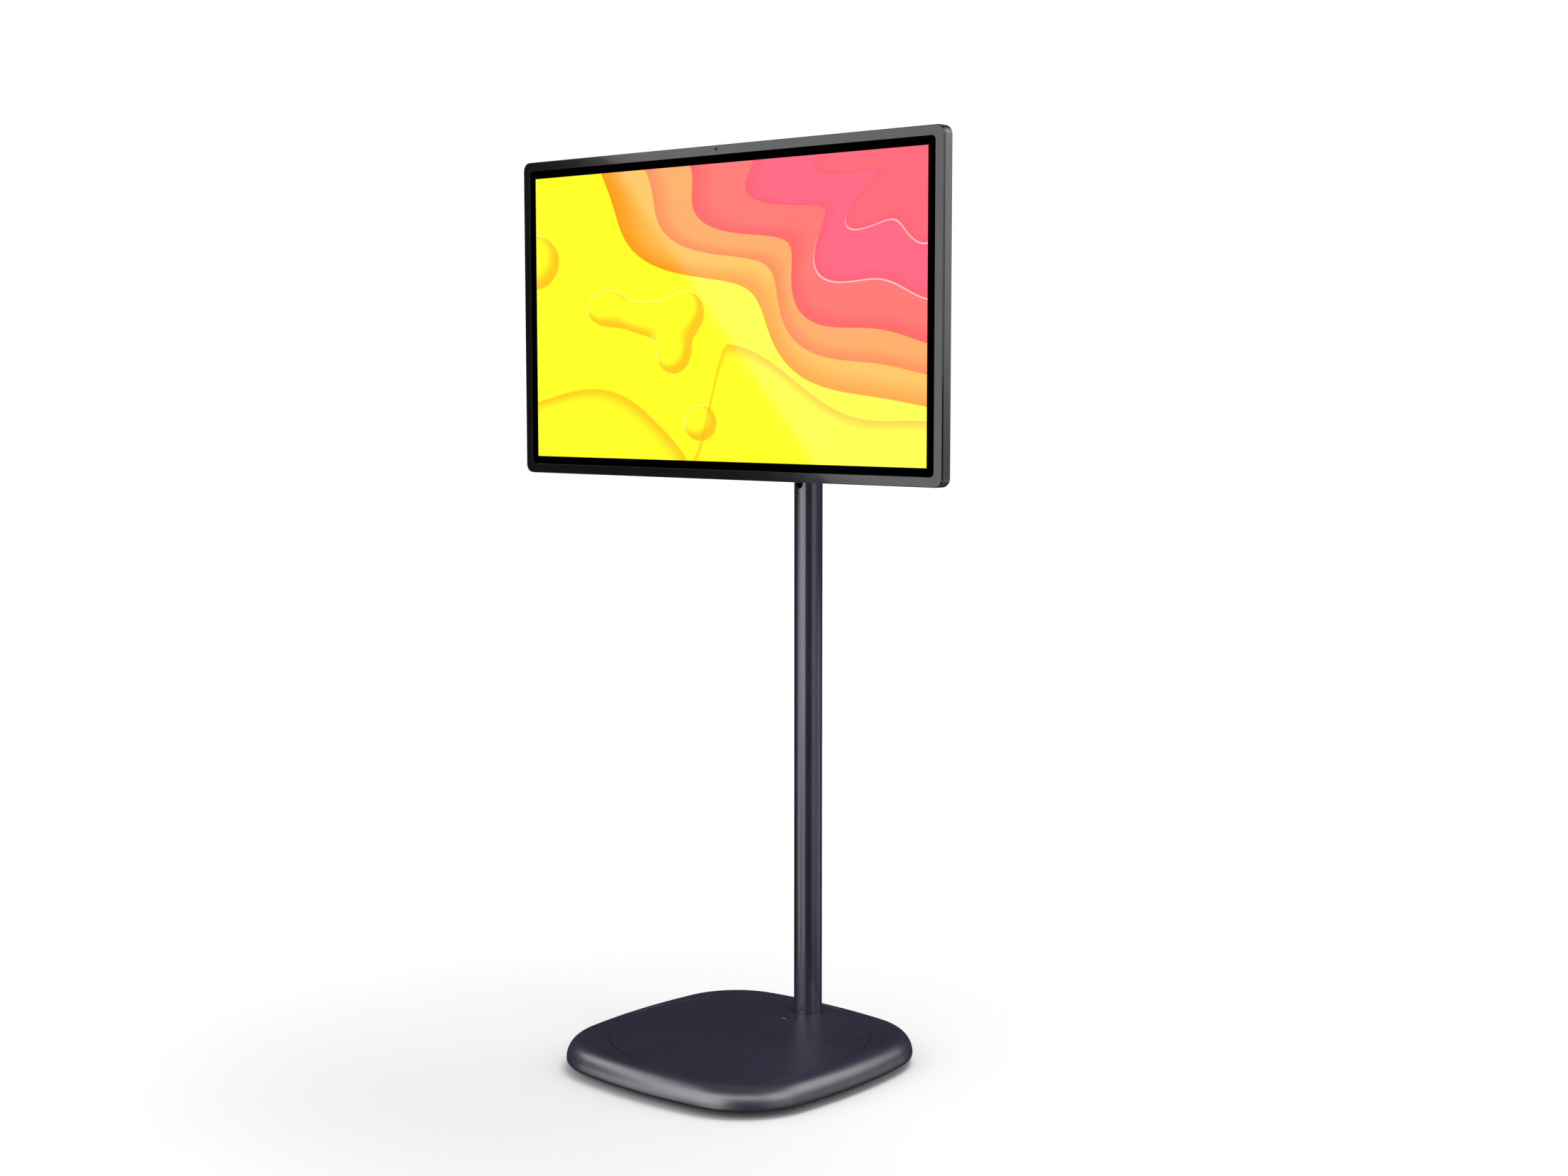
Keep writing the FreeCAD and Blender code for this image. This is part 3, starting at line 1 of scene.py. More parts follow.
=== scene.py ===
"""Touchscreen kiosk: the finish of every piece, a plain studio and the camera.

Bodies, places and sizes come from the frame. New surfaces are worked out on grids of points.
"""
import json
import math
import bmesh
import bpy
import numpy as np
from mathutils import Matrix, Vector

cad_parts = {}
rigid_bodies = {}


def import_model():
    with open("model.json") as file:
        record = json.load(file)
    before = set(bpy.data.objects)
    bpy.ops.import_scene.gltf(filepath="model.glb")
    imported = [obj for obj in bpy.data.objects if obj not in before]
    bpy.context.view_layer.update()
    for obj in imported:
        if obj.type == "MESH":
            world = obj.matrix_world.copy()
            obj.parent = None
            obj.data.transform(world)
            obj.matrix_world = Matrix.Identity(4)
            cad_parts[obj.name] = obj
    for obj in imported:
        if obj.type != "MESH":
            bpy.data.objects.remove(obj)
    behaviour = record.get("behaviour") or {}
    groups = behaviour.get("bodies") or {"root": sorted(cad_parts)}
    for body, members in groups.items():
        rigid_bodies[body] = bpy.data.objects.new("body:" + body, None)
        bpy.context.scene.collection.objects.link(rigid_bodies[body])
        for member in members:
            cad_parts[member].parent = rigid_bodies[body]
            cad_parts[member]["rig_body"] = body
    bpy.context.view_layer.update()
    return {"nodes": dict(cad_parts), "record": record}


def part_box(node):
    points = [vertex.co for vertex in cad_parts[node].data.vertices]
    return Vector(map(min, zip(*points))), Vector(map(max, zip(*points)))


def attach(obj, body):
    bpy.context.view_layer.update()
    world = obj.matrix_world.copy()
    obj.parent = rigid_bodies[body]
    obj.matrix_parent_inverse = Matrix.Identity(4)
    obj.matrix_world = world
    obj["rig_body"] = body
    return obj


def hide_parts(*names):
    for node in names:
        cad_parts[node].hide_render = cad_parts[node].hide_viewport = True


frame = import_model()
NODES = frame["nodes"]
SLOT_OF = {entry["node"]: entry["material_slot"] for entry in frame["record"]["subparts"]}
MM = 0.001
TAU = 2 * math.pi

# Sizes that a node's box doesn't give, in metres.
SIDE_BOW, CORNER_BOW = 750 * MM, 115 * MM
RIM, LIP, SHELL_WALL, SHELL_ROOF = 27.5 * MM, 4.5 * MM, 6 * MM, 5 * MM
SEAT_WIDTH, SEAT_GAP = 5 * MM, 0.2 * MM
DISC_SEAM, DISC_BEVEL, RIM_MARGIN = 0.6 * MM, 0.5 * MM, 0.3 * MM
OUTLET_HEIGHT, OUTLET_RADIUS, TUBE_WALL = 797 * MM, 6 * MM, 2.5 * MM
# The painted shadow ring at the pole's foot: its size and its gap from the pole.
FOOT_SHADOW_SIZE, FOOT_SHADOW_GAP = 0.3 * MM, 0.25 * MM
SCREEN_CORNER, BEZEL_CORNER, BEZEL_WIDTH, BAND_WALL = 12 * MM, 6 * MM, 13 * MM, 1.5 * MM
BAND_BACK_ROUND, BAND_FRONT_ROUND = 1.4 * MM, 0.5 * MM
BEZEL_OUTER_ROUND, BEZEL_INNER_ROUND = 0.5 * MM, 0.25 * MM
LENS_GAP, PANEL_EDGE = 0.35 * MM, 6 * MM

panel_low, panel_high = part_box("lcd_panel")
# The lit area, as (x, z) at its low and at its high corner.
PICTURE = ((panel_low.x + PANEL_EDGE, panel_low.z + PANEL_EDGE),
           (panel_high.x - PANEL_EDGE, panel_high.z - PANEL_EDGE))

# How much an edge of a softened node is rounded; the others keep their edges.
EDGE_ROUND = {"support_arm": 0.8 * MM, "tilt_knuckle": 0.6 * MM, "clamp_front": 0.8 * MM, "clamp_rear": 0.8 * MM,
              "base_button": 0.3 * MM, "power_key": 0.4 * MM, "volume_rocker": 0.4 * MM, "pole_cap": 0.8 * MM,
              "tilt_nut": 0.5 * MM, "pivot_hub": 0.5 * MM}
SAME_ON_GRID, SAME_IN_SOLID = 1e-6, 2e-6   # metres within which points become one
SHARP = 35            # degrees between faces from which an edge stays sharp
BEVEL_FROM = 50       # degrees between faces from which an edge is rounded
FLAT_WHEN_ROUNDED, FLAT_WHEN_PLAIN = 1.5, 0.3   # degrees within which a solid's faces merge into one

# Light: the sky's share in lighting, its share in gloss, and how much the far floor is lifted to white.
SKY_LIGHT, GLOSS_SKY, FAR_LIFT = 0.55, 0.04, 0.70
FLOOR_REACH, LIFT_FROM, LIFT_TO = 14.0, 0.25, 2.6


# ---------------------------------------------------------------- meshes

def grid_mesh(name, points, along=False):
    """A smooth piece on an array of points (rows, columns, 3): each row closes on itself, and so do the
    columns if along is set."""
    rows, columns = points.shape[:2]
    i, j = np.meshgrid(np.arange(rows if along else rows - 1), np.arange(columns), indexing="ij")
    this_row, next_row = i * columns, (i + 1) % rows * columns
    next_column = (j + 1) % columns
    faces = np.stack([this_row + j, this_row + next_column, next_row + next_column, next_row + j], -1).reshape(-1, 4)
    mesh = bpy.data.meshes.new(name)
    mesh.from_pydata(points.reshape(-1, 3).tolist(), [], faces.tolist())
    work = bmesh.new()
    work.from_mesh(mesh)
    bmesh.ops.remove_doubles(work, verts=work.verts, dist=SAME_ON_GRID)
    bmesh.ops.dissolve_degenerate(work, edges=work.edges, dist=SAME_ON_GRID / 10)
    bmesh.ops.recalc_face_normals(work, faces=work.faces)
    work.to_mesh(mesh)
    work.free()
    smooth(mesh)
    return linked(name, mesh)


def smooth(mesh):
    """Smooths all but the sharp edges."""
    mesh.shade_smooth()
    mesh.set_sharp_from_angle(angle=math.radians(SHARP))


def linked(name, data):
    """A new object in the scene that holds a mesh, a lamp or a camera."""
    piece = bpy.data.objects.new(name, data)
    bpy.context.scene.collection.objects.link(piece)
    return piece


def even_out(piece):
    """Keeps wide flat faces flat beside narrow rounded ones, by weighing each face's normal by its area."""
    even = piece.modifiers.new("even", "WEIGHTED_NORMAL")
    even.keep_sharp = True


def dressed(node):
    """A merged, smooth copy of a node's solid, with softened edges where it has some, which stands in its place."""
    source = NODES[node]
    bevel = EDGE_ROUND.get(node)
    mesh = source.data.copy()
    mesh.materials.clear()
    work = bmesh.new()
    work.from_mesh(mesh)
    bmesh.ops.remove_doubles(work, verts=work.verts, dist=SAME_IN_SOLID)
    bmesh.ops.dissolve_limit(work, angle_limit=math.radians(FLAT_WHEN_ROUNDED if bevel else FLAT_WHEN_PLAIN),
                             verts=work.verts, edges=work.edges)
    work.to_mesh(mesh)
    work.free()
    smooth(mesh)
    piece = linked(node + "_finish", mesh)
    if bevel:
        edge = piece.modifiers.new("edge", "BEVEL")
        edge.width, edge.segments = bevel, 2
        edge.limit_method, edge.angle_limit = "ANGLE", math.radians(BEVEL_FROM)
    adopt(piece, node)


def rounded_loop(wide, tall, corner, arc=12, side=14):
    """A rounded rectangle about the origin: arc points at each corner, side points on each side."""
    corner = max(corner, 1e-5)
    corners = []
    for k, (sx, sz) in enumerate(((1, 1), (-1, 1), (-1, -1), (1, -1))):
        angle = np.linspace(0, math.pi / 2, arc) + k * math.pi / 2
        centre = np.array([sx * (wide / 2 - corner), sz * (tall / 2 - corner)])
        corners.append(centre + corner * np.stack([np.cos(angle), np.sin(angle)], -1))
    step = np.linspace(0, 1, side + 2)[1:-1, None]
    out = []
    for here, after in zip(corners, corners[1:] + corners[:1]):
        out += [here, here[-1] + (after[0] - here[-1]) * step]
    return np.concatenate(out)


def loop_tube(name, centre, loops):
    """A closed frame through loops given as (wide, tall, corner radius, y), about a centre (x, z)."""
    rows = []
    for wide, tall, corner, y in loops:
        flat = rounded_loop(wide, tall, corner)
        rows.append(np.column_stack([centre[0] + flat[:, 0], np.full(len(flat), y), centre[1] + flat[:, 1]]))
    return grid_mesh(name, np.stack(rows), along=True)


def rounding(radius, steps=4):
    """A quarter round as (inset, drop) pairs, from (radius, 0) at a face down to (0, radius) at a side."""
    turn = np.linspace(0, math.pi / 2, steps + 1)
    return [(radius * (1 - math.sin(a)), radius * (1 - math.cos(a))) for a in turn]


def on_circle(turns, radius, z, centre=(0.0, 0.0)):
    """Points at these angles on a level circle."""
    return np.column_stack([centre[0] + radius * np.cos(turns), centre[1] + radius * np.sin(turns),
                            np.full(len(turns), z)])


def bowed_loop(half, inset, per_side=22, per_corner=30):
    """The base's outline moved in by inset: four wide bows, each followed by a corner arc.

    Both arcs meet where their normals point the same way, so an inset keeps the points in line.
    """
    away = SIDE_BOW - half
    middle = (math.sqrt(2 * (SIDE_BOW - CORNER_BOW) ** 2 - away ** 2) - away) / 2
    turn = math.atan2(middle, middle + away)
    points = []
    for k in range(4):
        spin = k * math.pi / 2
        right, up = math.cos(spin), math.sin(spin)
        bow = np.linspace(spin - turn, spin + turn, per_side, endpoint=False)
        centre = np.array([-away * right, -away * up])
        points.append(centre + (SIDE_BOW - inset) * np.stack([np.cos(bow), np.sin(bow)], -1))
        arc = np.linspace(spin + turn, spin + math.pi / 2 - turn, per_corner, endpoint=False)
        centre = middle * np.array([right - up, up + right])
        points.append(centre + (CORNER_BOW - inset) * np.stack([np.cos(arc), np.sin(arc)], -1))
    return np.concatenate(points)


def shell_mesh():
    """The base shell as a closed ring: disc seat, flat top, round rim, lower lip and the inside."""
    low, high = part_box("base_shell")
    disc_low, disc_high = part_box("base_disc")
    half, top, bottom = high.x, high.z, low.z
    seat, seam = disc_high.x - SEAT_WIDTH, disc_high.x + DISC_SEAM
    floor_of_seat, roof = disc_low.z - SEAT_GAP, disc_low.z - SHELL_ROOF
    outline = bowed_loop(half, 0)
    turns = np.arctan2(outline[:, 1], outline[:, 0])

    def contour(inset, z):
        return np.column_stack([bowed_loop(half, inset), np.full(len(turns), z)])

    rim = np.linspace(math.pi / 2, 0, 25)
    lip = np.linspace(0, math.pi / 2, 9)
    inner = RIM - SHELL_WALL
    rows = [on_circle(turns, radius, z) for radius, z in (
        (seat, floor_of_seat), (seam, floor_of_seat), (seam, top - DISC_BEVEL), (seam + DISC_BEVEL, top))]
    rows += [contour(RIM + RIM_MARGIN, top)]
    rows += [contour(RIM * (1 - math.cos(a)), top - RIM * (1 - math.sin(a))) for a in rim]
    rows += [contour(LIP * (1 - math.cos(a)), bottom + LIP * (1 - math.sin(a))) for a in lip]
    rows += [contour(SHELL_WALL, bottom), contour(SHELL_WALL, roof - inner)]
    rows += [contour(SHELL_WALL + inner * (1 - math.cos(a)), roof - inner * (1 - math.sin(a))) for a in rim[::-4]]
    rows += [on_circle(turns, seat, roof)]
    return grid_mesh("base_shell_skin", np.stack(rows), along=True)


def drilled(piece, x, z, radius, front, back, around=48):
    """Cuts a round hole along Y, from front to back, through a closed piece."""
    turns = np.linspace(0, TAU, around, endpoint=False)
    rows = [np.column_stack([x + r * np.cos(turns), np.full(around, y), z + r * np.sin(turns)])
            for r, y in ((0, front), (radius, front), (radius, back), (0, back))]
    cutter = grid_mesh("hole_cutter", np.stack(rows))
    hole = piece.modifiers.new("hole", "BOOLEAN")
    hole.object, hole.solver = cutter, "EXACT"
    bpy.context.view_layer.update()
    cut_mesh = bpy.data.meshes.new_from_object(piece.evaluated_get(bpy.context.evaluated_depsgraph_get()))
    piece.modifiers.clear()
    piece.data = cut_mesh
    bpy.data.objects.remove(cutter)
    smooth(cut_mesh)
    return piece


def tube_mesh(around=144):
    """The pole: outer and inner cylinder as one closed tube, with the round cable outlet cut through its front."""
    low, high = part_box("pole_tube")
    centre = ((low.x + high.x) / 2, (low.y + high.y) / 2)
    radius = (high.x - low.x) / 2
    bore = radius - TUBE_WALL
    turns = np.linspace(0, TAU, around, endpoint=False)
    rows = [on_circle(turns, r, z, centre)
            for r, z in ((bore, low.z), (radius, low.z), (radius, high.z), (bore, high.z))]
    tube = grid_mesh("pole_tube_skin", np.stack(rows), along=True)
    return drilled(tube, 0, OUTLET_HEIGHT, OUTLET_RADIUS, centre[1] - radius - 5 * MM, centre[1])


def band_mesh(centre, size):
    """The metal band: a wall with a wide round at the back and a small one at the front."""
    low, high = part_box("side_band")
    wide, tall = size
    inside = (wide - 2 * BAND_WALL, tall - 2 * BAND_WALL, SCREEN_CORNER - BAND_WALL)
    loops = [(*inside, high.y)]
    loops += [(wide - 2 * a, tall - 2 * a, SCREEN_CORNER - a, high.y - b) for a, b in rounding(BAND_BACK_ROUND, 6)]
    loops += [(wide - 2 * a, tall - 2 * a, SCREEN_CORNER - a, low.y + b)
              for a, b in reversed(rounding(BAND_FRONT_ROUND))]
    return loop_tube("side_band_skin", centre, loops + [(*inside, low.y)])


def bezel_mesh(centre, size):
    """The front frame, rounded at its outer and inner edge, with the hole for the camera window."""
    low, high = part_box("front_bezel")
    wide, tall = high.x - low.x, high.z - low.z
    hole_wide, hole_tall = size[0] - 2 * BEZEL_WIDTH, size[1] - 2 * BEZEL_WIDTH
    corner = SCREEN_CORNER - (size[0] - wide) / 2
    loops = [(wide, tall, corner, high.y)]
    loops += [(wide - 2 * a, tall - 2 * a, corner - a, low.y + b) for a, b in reversed(rounding(BEZEL_OUTER_ROUND))]
    loops += [(hole_wide + 2 * a, hole_tall + 2 * a, BEZEL_CORNER + a, low.y + b)
              for a, b in rounding(BEZEL_INNER_ROUND, 3)]
    loops += [(hole_wide, hole_tall, BEZEL_CORNER, high.y)]
    lens_low, lens_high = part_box("camera_lens")
    return drilled(loop_tube("front_bezel_skin", centre, loops), 0, (lens_low.z + lens_high.z) / 2,
                   (lens_high.x - lens_low.x) / 2 + LENS_GAP, low.y - 2 * MM, high.y + 2 * MM)


def mask_mesh(centre):
    """The black border between the bezel and the lit area."""
    low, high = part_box("black_mask")
    out = (high.x - low.x, high.z - low.z, BEZEL_CORNER)
    (left, bottom), (right, top) = PICTURE
    lit = (right - left, top - bottom, 0)
    return loop_tube("black_mask_skin", centre, [(*out, high.y), (*out, low.y), (*lit, low.y), (*lit, high.y)])


def glass_mesh(centre):
    """The touch glass: a slab with extra loops on its front, which keep its faces small."""
    low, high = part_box("touch_glass")
    out = (high.x - low.x, high.z - low.z)
    middle = (2 * MM, 2 * MM, 0)
    loops = [(*middle, high.y), (*out, BEZEL_CORNER, high.y), (*out, BEZEL_CORNER, low.y)]
    loops += [(out[0] * k, out[1] * k, 1 * MM, low.y) for k in (0.97, 0.6, 0.3)]
    return loop_tube("touch_glass_skin", centre, loops + [(*middle, low.y)])


def display_frames():
    """Band, bezel, mask and glass, all about the band's middle."""
    low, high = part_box("side_band")
    centre = ((low.x + high.x) / 2, (low.z + high.z) / 2)
    size = (high.x - low.x, high.z - low.z)
    return {"side_band": band_mesh(centre, size), "front_bezel": bezel_mesh(centre, size),
            "black_mask": mask_mesh(centre), "touch_glass": glass_mesh(centre)}


# ---------------------------------------------------------------- shader maths

class Sum:
    """A socket that Python operators extend with Math nodes."""

    def __init__(self, wiring, socket):
        self.wiring, self.socket = wiring, socket

    def _math(self, kind, *values):
        return self.wiring.node("ShaderNodeMath", {"operation": kind}, dict(enumerate(values)))

    def __add__(self, other):
        return self._math("ADD", self, other)

    def __sub__(self, other):
        return self._math("SUBTRACT", self, other)

    def __mul__(self, other):
        return self._math("MULTIPLY", self, other)

    def __truediv__(self, other):
        return self._math("DIVIDE", self, other)

    def __rsub__(self, other):
        return self._math("SUBTRACT", other, self)

    def __pow__(self, other):
        return self._math("POWER", self, other)

    def __abs__(self):
        return self._math("ABSOLUTE", self)

    __radd__ = __add__
    __rmul__ = __mul__

    def sin(self):
        return self._math("SINE", self)

    def over(self, low, high):
        """0 below low, 1 above high, smooth between."""
        return self.wiring.node("ShaderNodeMapRange", {"interpolation_type": "SMOOTHSTEP"},
                                {"Value": self, "From Min": low, "From Max": high})

    def most(self, other):
        return self._math("MAXIMUM", self, other)


class Wiring:
    """A node tree that is built node by node."""

    def __init__(self, tree):
        self.tree = tree
        tree.nodes.clear()

    def put(self, socket, value):
        """Links a socket to a Sum, or sets it to a number, vector or colour."""
        if isinstance(value, Sum):
            self.tree.links.new(value.socket, socket)
        elif socket.type == "RGBA" and len(value) == 3:
            socket.default_value = (*value, 1)
        else:
            socket.default_value = value

    def node(self, kind, settings=None, inputs=None, output=0):
        """Adds a node: its settings first, then the values or links of its sockets."""
        new = self.tree.nodes.new(kind)
        for name, value in (settings or {}).items():
            setattr(new, name, value)
        for name, value in (inputs or {}).items():
            self.put(new.inputs[name], value)
        return Sum(self, new.outputs[output])

    def node_in(self, kind, value):
        """An output node fed by a value."""
        self.tree.links.new(value.socket, self.tree.nodes.new(kind).inputs[0])


class Finish(Wiring):
    """One procedural material about a principled shader."""

    def __init__(self, name, **shader):
        self.material = bpy.data.materials.new(name)
        self.material.use_nodes = True
        super().__init__(self.material.node_tree)
        self.shader = self.tree.nodes.new("ShaderNodeBsdfPrincipled")
        self.node_in("ShaderNodeOutputMaterial", Sum(self, self.shader.outputs[0]))
        self.set(**shader)

    def set(self, **values):
        """Sets or links the shader's sockets; an underscore in a name stands for a space."""
        for name, value in values.items():
            self.put(self.shader.inputs[name.replace("_", " ")], value)

    def spot(self):
        """Object coordinates."""
        return self.node("ShaderNodeTexCoord", output="Object")

    def split(self, spot):
        """The X, Y and Z of a vector."""
        parts = self.tree.nodes.new("ShaderNodeSeparateXYZ")
        self.put(parts.inputs[0], spot)
        return [Sum(self, part) for part in parts.outputs]

    def noise(self, spot, scale, detail=3, rough=0.55):
        """Soft noise from 0 to 1; scale is in waves to the metre."""
        return self.node("ShaderNodeTexNoise", {},
                         {"Vector": spot, "Scale": scale, "Detail": detail, "Roughness": rough})

    def mix(self, share, one, two):
        """A colour between two, by share."""
        new = self.tree.nodes.new("ShaderNodeMix")
        new.data_type = "RGBA"
        for index, value in ((0, share), (6, one), (7, two)):
            self.put(new.inputs[index], value)
        return Sum(self, new.outputs[2])

    def bump(self, height, strength, distance):
        """Tilts the shading by a height from 0 to 1 over a distance in metres."""
        self.set(Normal=self.node("ShaderNodeBump", {},
                                  {"Height": height, "Strength": strength, "Distance": distance}, "Normal"))


def srgb(r, g, b):
    """A colour given as display values from 0 to 255."""
    return tuple(v / 255 / 12.92 if v <= 10 else ((v / 255 + 0.055) / 1.055) ** 2.4 for v in (r, g, b))


def satin_paint(name, colour, rough, ior=2.1):
    """Baked satin paint: fine orange peel, faint cloudiness and a slightly uneven sheen."""
    finish = Finish(name, IOR=ior)
    spot = finish.spot()
    cloud = finish.noise(spot, 9.0)
    fleck = finish.noise(spot, 2600.0, 1)
    peel = finish.noise(spot, 900.0, 2)
    pale = tuple(min(1, c * 1.22 + 0.002) for c in colour)
    dark = tuple(c * 0.86 for c in colour)
    finish.set(Base_Color=finish.mix(cloud.over(0.35, 0.65) * 0.5 + fleck * 0.3, dark, pale),
               Roughness=rough + (cloud - 0.5) * 0.06 + (fleck - 0.5) * 0.08)
    finish.bump(peel * 0.6 + fleck * 0.4, 0.12, 0.0001)
    return finish.material


def moulded(name, colour, rough, grain=1700.0, depth=0.25):
    """Moulded plastic with a spark-eroded grain."""
    finish = Finish(name, Specular_IOR_Level=0.4)
    spot = finish.spot()
    grit = finish.noise(spot, grain, 2, 0.6)
    patch = finish.noise(spot, 14.0)
    pale = tuple(c * 1.5 + 0.003 for c in colour)
    finish.set(Base_Color=finish.mix(grit.over(0.3, 0.7) * 0.5 + patch * 0.3, colour, pale),
               Roughness=rough + (grit - 0.5) * 0.12 + (patch - 0.5) * 0.06)
    finish.bump(grit, depth, 0.00012)
    return finish.material


def machined(name, colour, rough):
    """Turned or plated steel: fine tool lines, brighter on the ridges."""
    finish = Finish(name, Metallic=1.0)
    spot = finish.spot()
    x, y, z = finish.split(spot)
    lines = ((x + y * 0.35 + z * 0.6) * 2200.0).sin() * 0.5 + 0.5
    stain = finish.noise(spot, 60.0)
    finish.set(Base_Color=finish.mix(stain, tuple(c * 0.8 for c in colour), colour),
               Roughness=rough + lines * 0.07 + (stain - 0.5) * 0.12)
    finish.bump(lines, 0.08, 0.00004)
    return finish.material


def rubber(name):
    """Matt rubber with a fine dusty grain."""
    finish = Finish(name, Specular_IOR_Level=0.25)
    spot = finish.spot()
    grit = finish.noise(spot, 1500.0, 3)
    dust = finish.noise(spot, 40.0)
    finish.set(Base_Color=finish.mix(dust.over(0.45, 0.75), srgb(26, 26, 27), srgb(44, 43, 42)),
               Roughness=0.8 + (grit - 0.5) * 0.15)
    finish.bump(grit, 0.4, 0.0002)
    return finish.material


def circuit(name):
    """Green lacquered board with copper tracks under the lacquer."""
    finish = Finish(name, Roughness=0.32, Coat_Weight=0.4)
    spot = finish.spot()
    x, _, z = finish.split(spot)
    rows = ((z * 1800).sin() * 0.5 + 0.5).over(0.55, 0.75)
    columns = ((x * 1500).sin() * 0.5 + 0.5).over(0.6, 0.8)
    patch = finish.noise(spot, 55.0, 1).over(0.48, 0.54)
    tracks = rows * patch + columns * (1 - patch)
    finish.set(Base_Color=finish.mix(tracks, srgb(10, 66, 38), srgb(40, 120, 70)))
    finish.bump(tracks, 0.3, 0.0001)
    return finish.material


def gloss_black(name, level=0.5):
    """Polished black moulding: near black, a faint ripple and a hard coat."""
    finish = Finish(name, Base_Color=srgb(9, 9, 11), Specular_IOR_Level=level, Coat_Weight=0.35,
                    Coat_Roughness=0.03)
    spot = finish.spot()
    ripple = finish.noise(spot, 22.0, 2)
    finish.set(Roughness=0.09 + ripple * 0.05)
    finish.bump(ripple, 0.02, 0.0004)
    return finish.material


def deep_black(name):
    """Printed matt black border that gives back almost nothing."""
    finish = Finish(name, Specular_IOR_Level=0.0)
    spot = finish.spot()
    print_grain = finish.noise(spot, 2000.0, 1)
    finish.set(Base_Color=finish.mix(print_grain, (0, 0, 0), (0.0006, 0.0006, 0.0006)), Roughness=0.95)
    return finish.material


def light_pipe(name):
    """Clear pale plastic that glows faintly from within: the glow is a painted highlight, which stands in for the
    two bright glints by the button on the base.
    """
    finish = Finish(name, Roughness=0.25, Emission_Strength=0.35)
    spot = finish.spot()
    haze = finish.noise(spot, 900.0, 1)
    # The emission is the painted highlight of the glints.
    finish.set(Base_Color=finish.mix(haze, (0.7, 0.72, 0.76), (0.85, 0.86, 0.9)),
               Emission_Color=finish.mix(haze, (0.75, 0.8, 0.9), (0.95, 0.97, 1.0)))
    return finish.material


def lit_picture(name):
    """Bonded touch glass over a lit picture of layered colours.

    u and v run from 0 to 1 across and up the lit area, and outside it nothing glows. Each layer lies
    round the upper right corner: its edge is the distance from that corner less a wavy function of the
    angle. The hollows in the yellow are level lines of summed humps, and the same humps moved a little
    give their shaded side.
    """
    finish = Finish(name, Base_Color=(0.003, 0.003, 0.003), Roughness=0.045, Specular_IOR_Level=0.5,
                    Emission_Strength=1.0)
    x, _, z = finish.split(finish.spot())
    (left, low), (right, high) = PICTURE
    u, v = (x - left) / (right - left), (z - low) / (high - low)

    def humps(u, v, places):
        """The sum of round humps, each given as (across, up, width, height)."""
        total = 0.0
        for across, up, wide, tall in places:
            far = ((u - across) / wide) ** 2 + ((v - up) / tall) ** 2
            total = total + (1 + far) ** -2
        return total

    def inside_wavy(across, up, reach, waves):
        """How far a point lies inside a wavy edge about a centre; waves are (count, phase, height)."""
        right, down = across - u, up - v
        angle = finish.node("ShaderNodeMath", {"operation": "ARCTAN2"}, {0: down, 1: right})
        depth = reach - (right ** 2 + down ** 2) ** 0.5
        for count, phase, height in waves:
            depth = depth + (angle * count + phase).sin() * height
        return depth, angle

    colour = srgb(255, 255, 38)
    shadow, gleam = srgb(255, 186, 24), srgb(255, 252, 196)
    arch, _ = inside_wavy(-0.10, -0.34, 0.615, ((6.0, 2.6, 0.060), (9.0, 0.4, 0.030)))
    shelf = (0.40 - (u - 0.45) * 0.52 + (u * 13.0 + 0.4).sin() * 0.045) * u.over(0.43, 0.53) - v
    for depth in (arch, shelf):
        shade = depth.over(-0.0012, 0.0012) * (1 - depth.over(0.0, 0.05))
        colour = finish.mix(shade * 0.72, colour, shadow)
    pools = [  # humps, level of the outline
        ([(-0.01, 0.70, 0.10, 0.13)], 0.40),
        ([(0.20, 0.53, 0.075, 0.085), (0.32, 0.49, 0.085, 0.07), (0.42, 0.51, 0.06, 0.09),
          (0.385, 0.36, 0.06, 0.09)], 0.50),
        ([(0.455, 0.13, 0.055, 0.080)], 0.40)]
    for places, level in pools:
        here = humps(u, v, places)
        moved = humps(u + 0.014, v - 0.020, places)
        inside = here.over(level - 0.006, level + 0.006)
        shade = inside * (1 - moved.over(level - 0.06, level + 0.24))
        colour = finish.mix(shade * 0.78, colour, shadow)
        rim = (1 - abs(here - level).over(0.0, 0.018)) * moved.over(level - 0.02, level + 0.10)
        colour = finish.mix(rim * 0.7, colour, gleam)
    layers = [  # reach, phase, colour, colour in the shade of the edge, width of that shade
        (0.735, 0.00, srgb(255, 190, 74), srgb(255, 158, 26), 0.085),
        (0.640, 0.22, srgb(255, 162, 78), srgb(255, 130, 58), 0.060),
        (0.545, 0.45, srgb(255, 99, 94), srgb(252, 76, 76), 0.070),
        (0.405, 0.80, srgb(255, 74, 112), srgb(246, 62, 98), 0.050),
        (0.235, 1.30, srgb(255, 76, 100), srgb(250, 66, 90), 0.040)]
    for order, (reach, phase, plain, deep, width) in enumerate(layers):
        waves = ((4.0, 1.571 + phase, 0.10 - 0.012 * order), (9.0, -2.39 + phase * 1.7, 0.036 + 0.004 * order))
        depth, angle = inside_wavy(1.0, 1.0, reach, waves)
        layer = finish.mix(1 - depth.over(0.0, width), plain, deep)
        colour = finish.mix(depth.over(-0.0011, 0.0011), colour, layer)
        if order >= 3:  # the two innermost layers have a bright line along part of their edge
            line = (1 - abs(depth).over(0.0, 0.0042)) * angle.over(0.75, 1.0)
            colour = finish.mix(line * 0.75, colour, srgb(255, 222, 214))
    lit = (0.5 - abs(u - 0.5)).over(0.0, 0.0006) * (0.5 - abs(v - 0.5)).over(0.0, 0.0006)
    colour = finish.mix(lit, (0.0, 0.0, 0.0), colour)
    finish.set(Emission_Color=colour)
    return finish.material


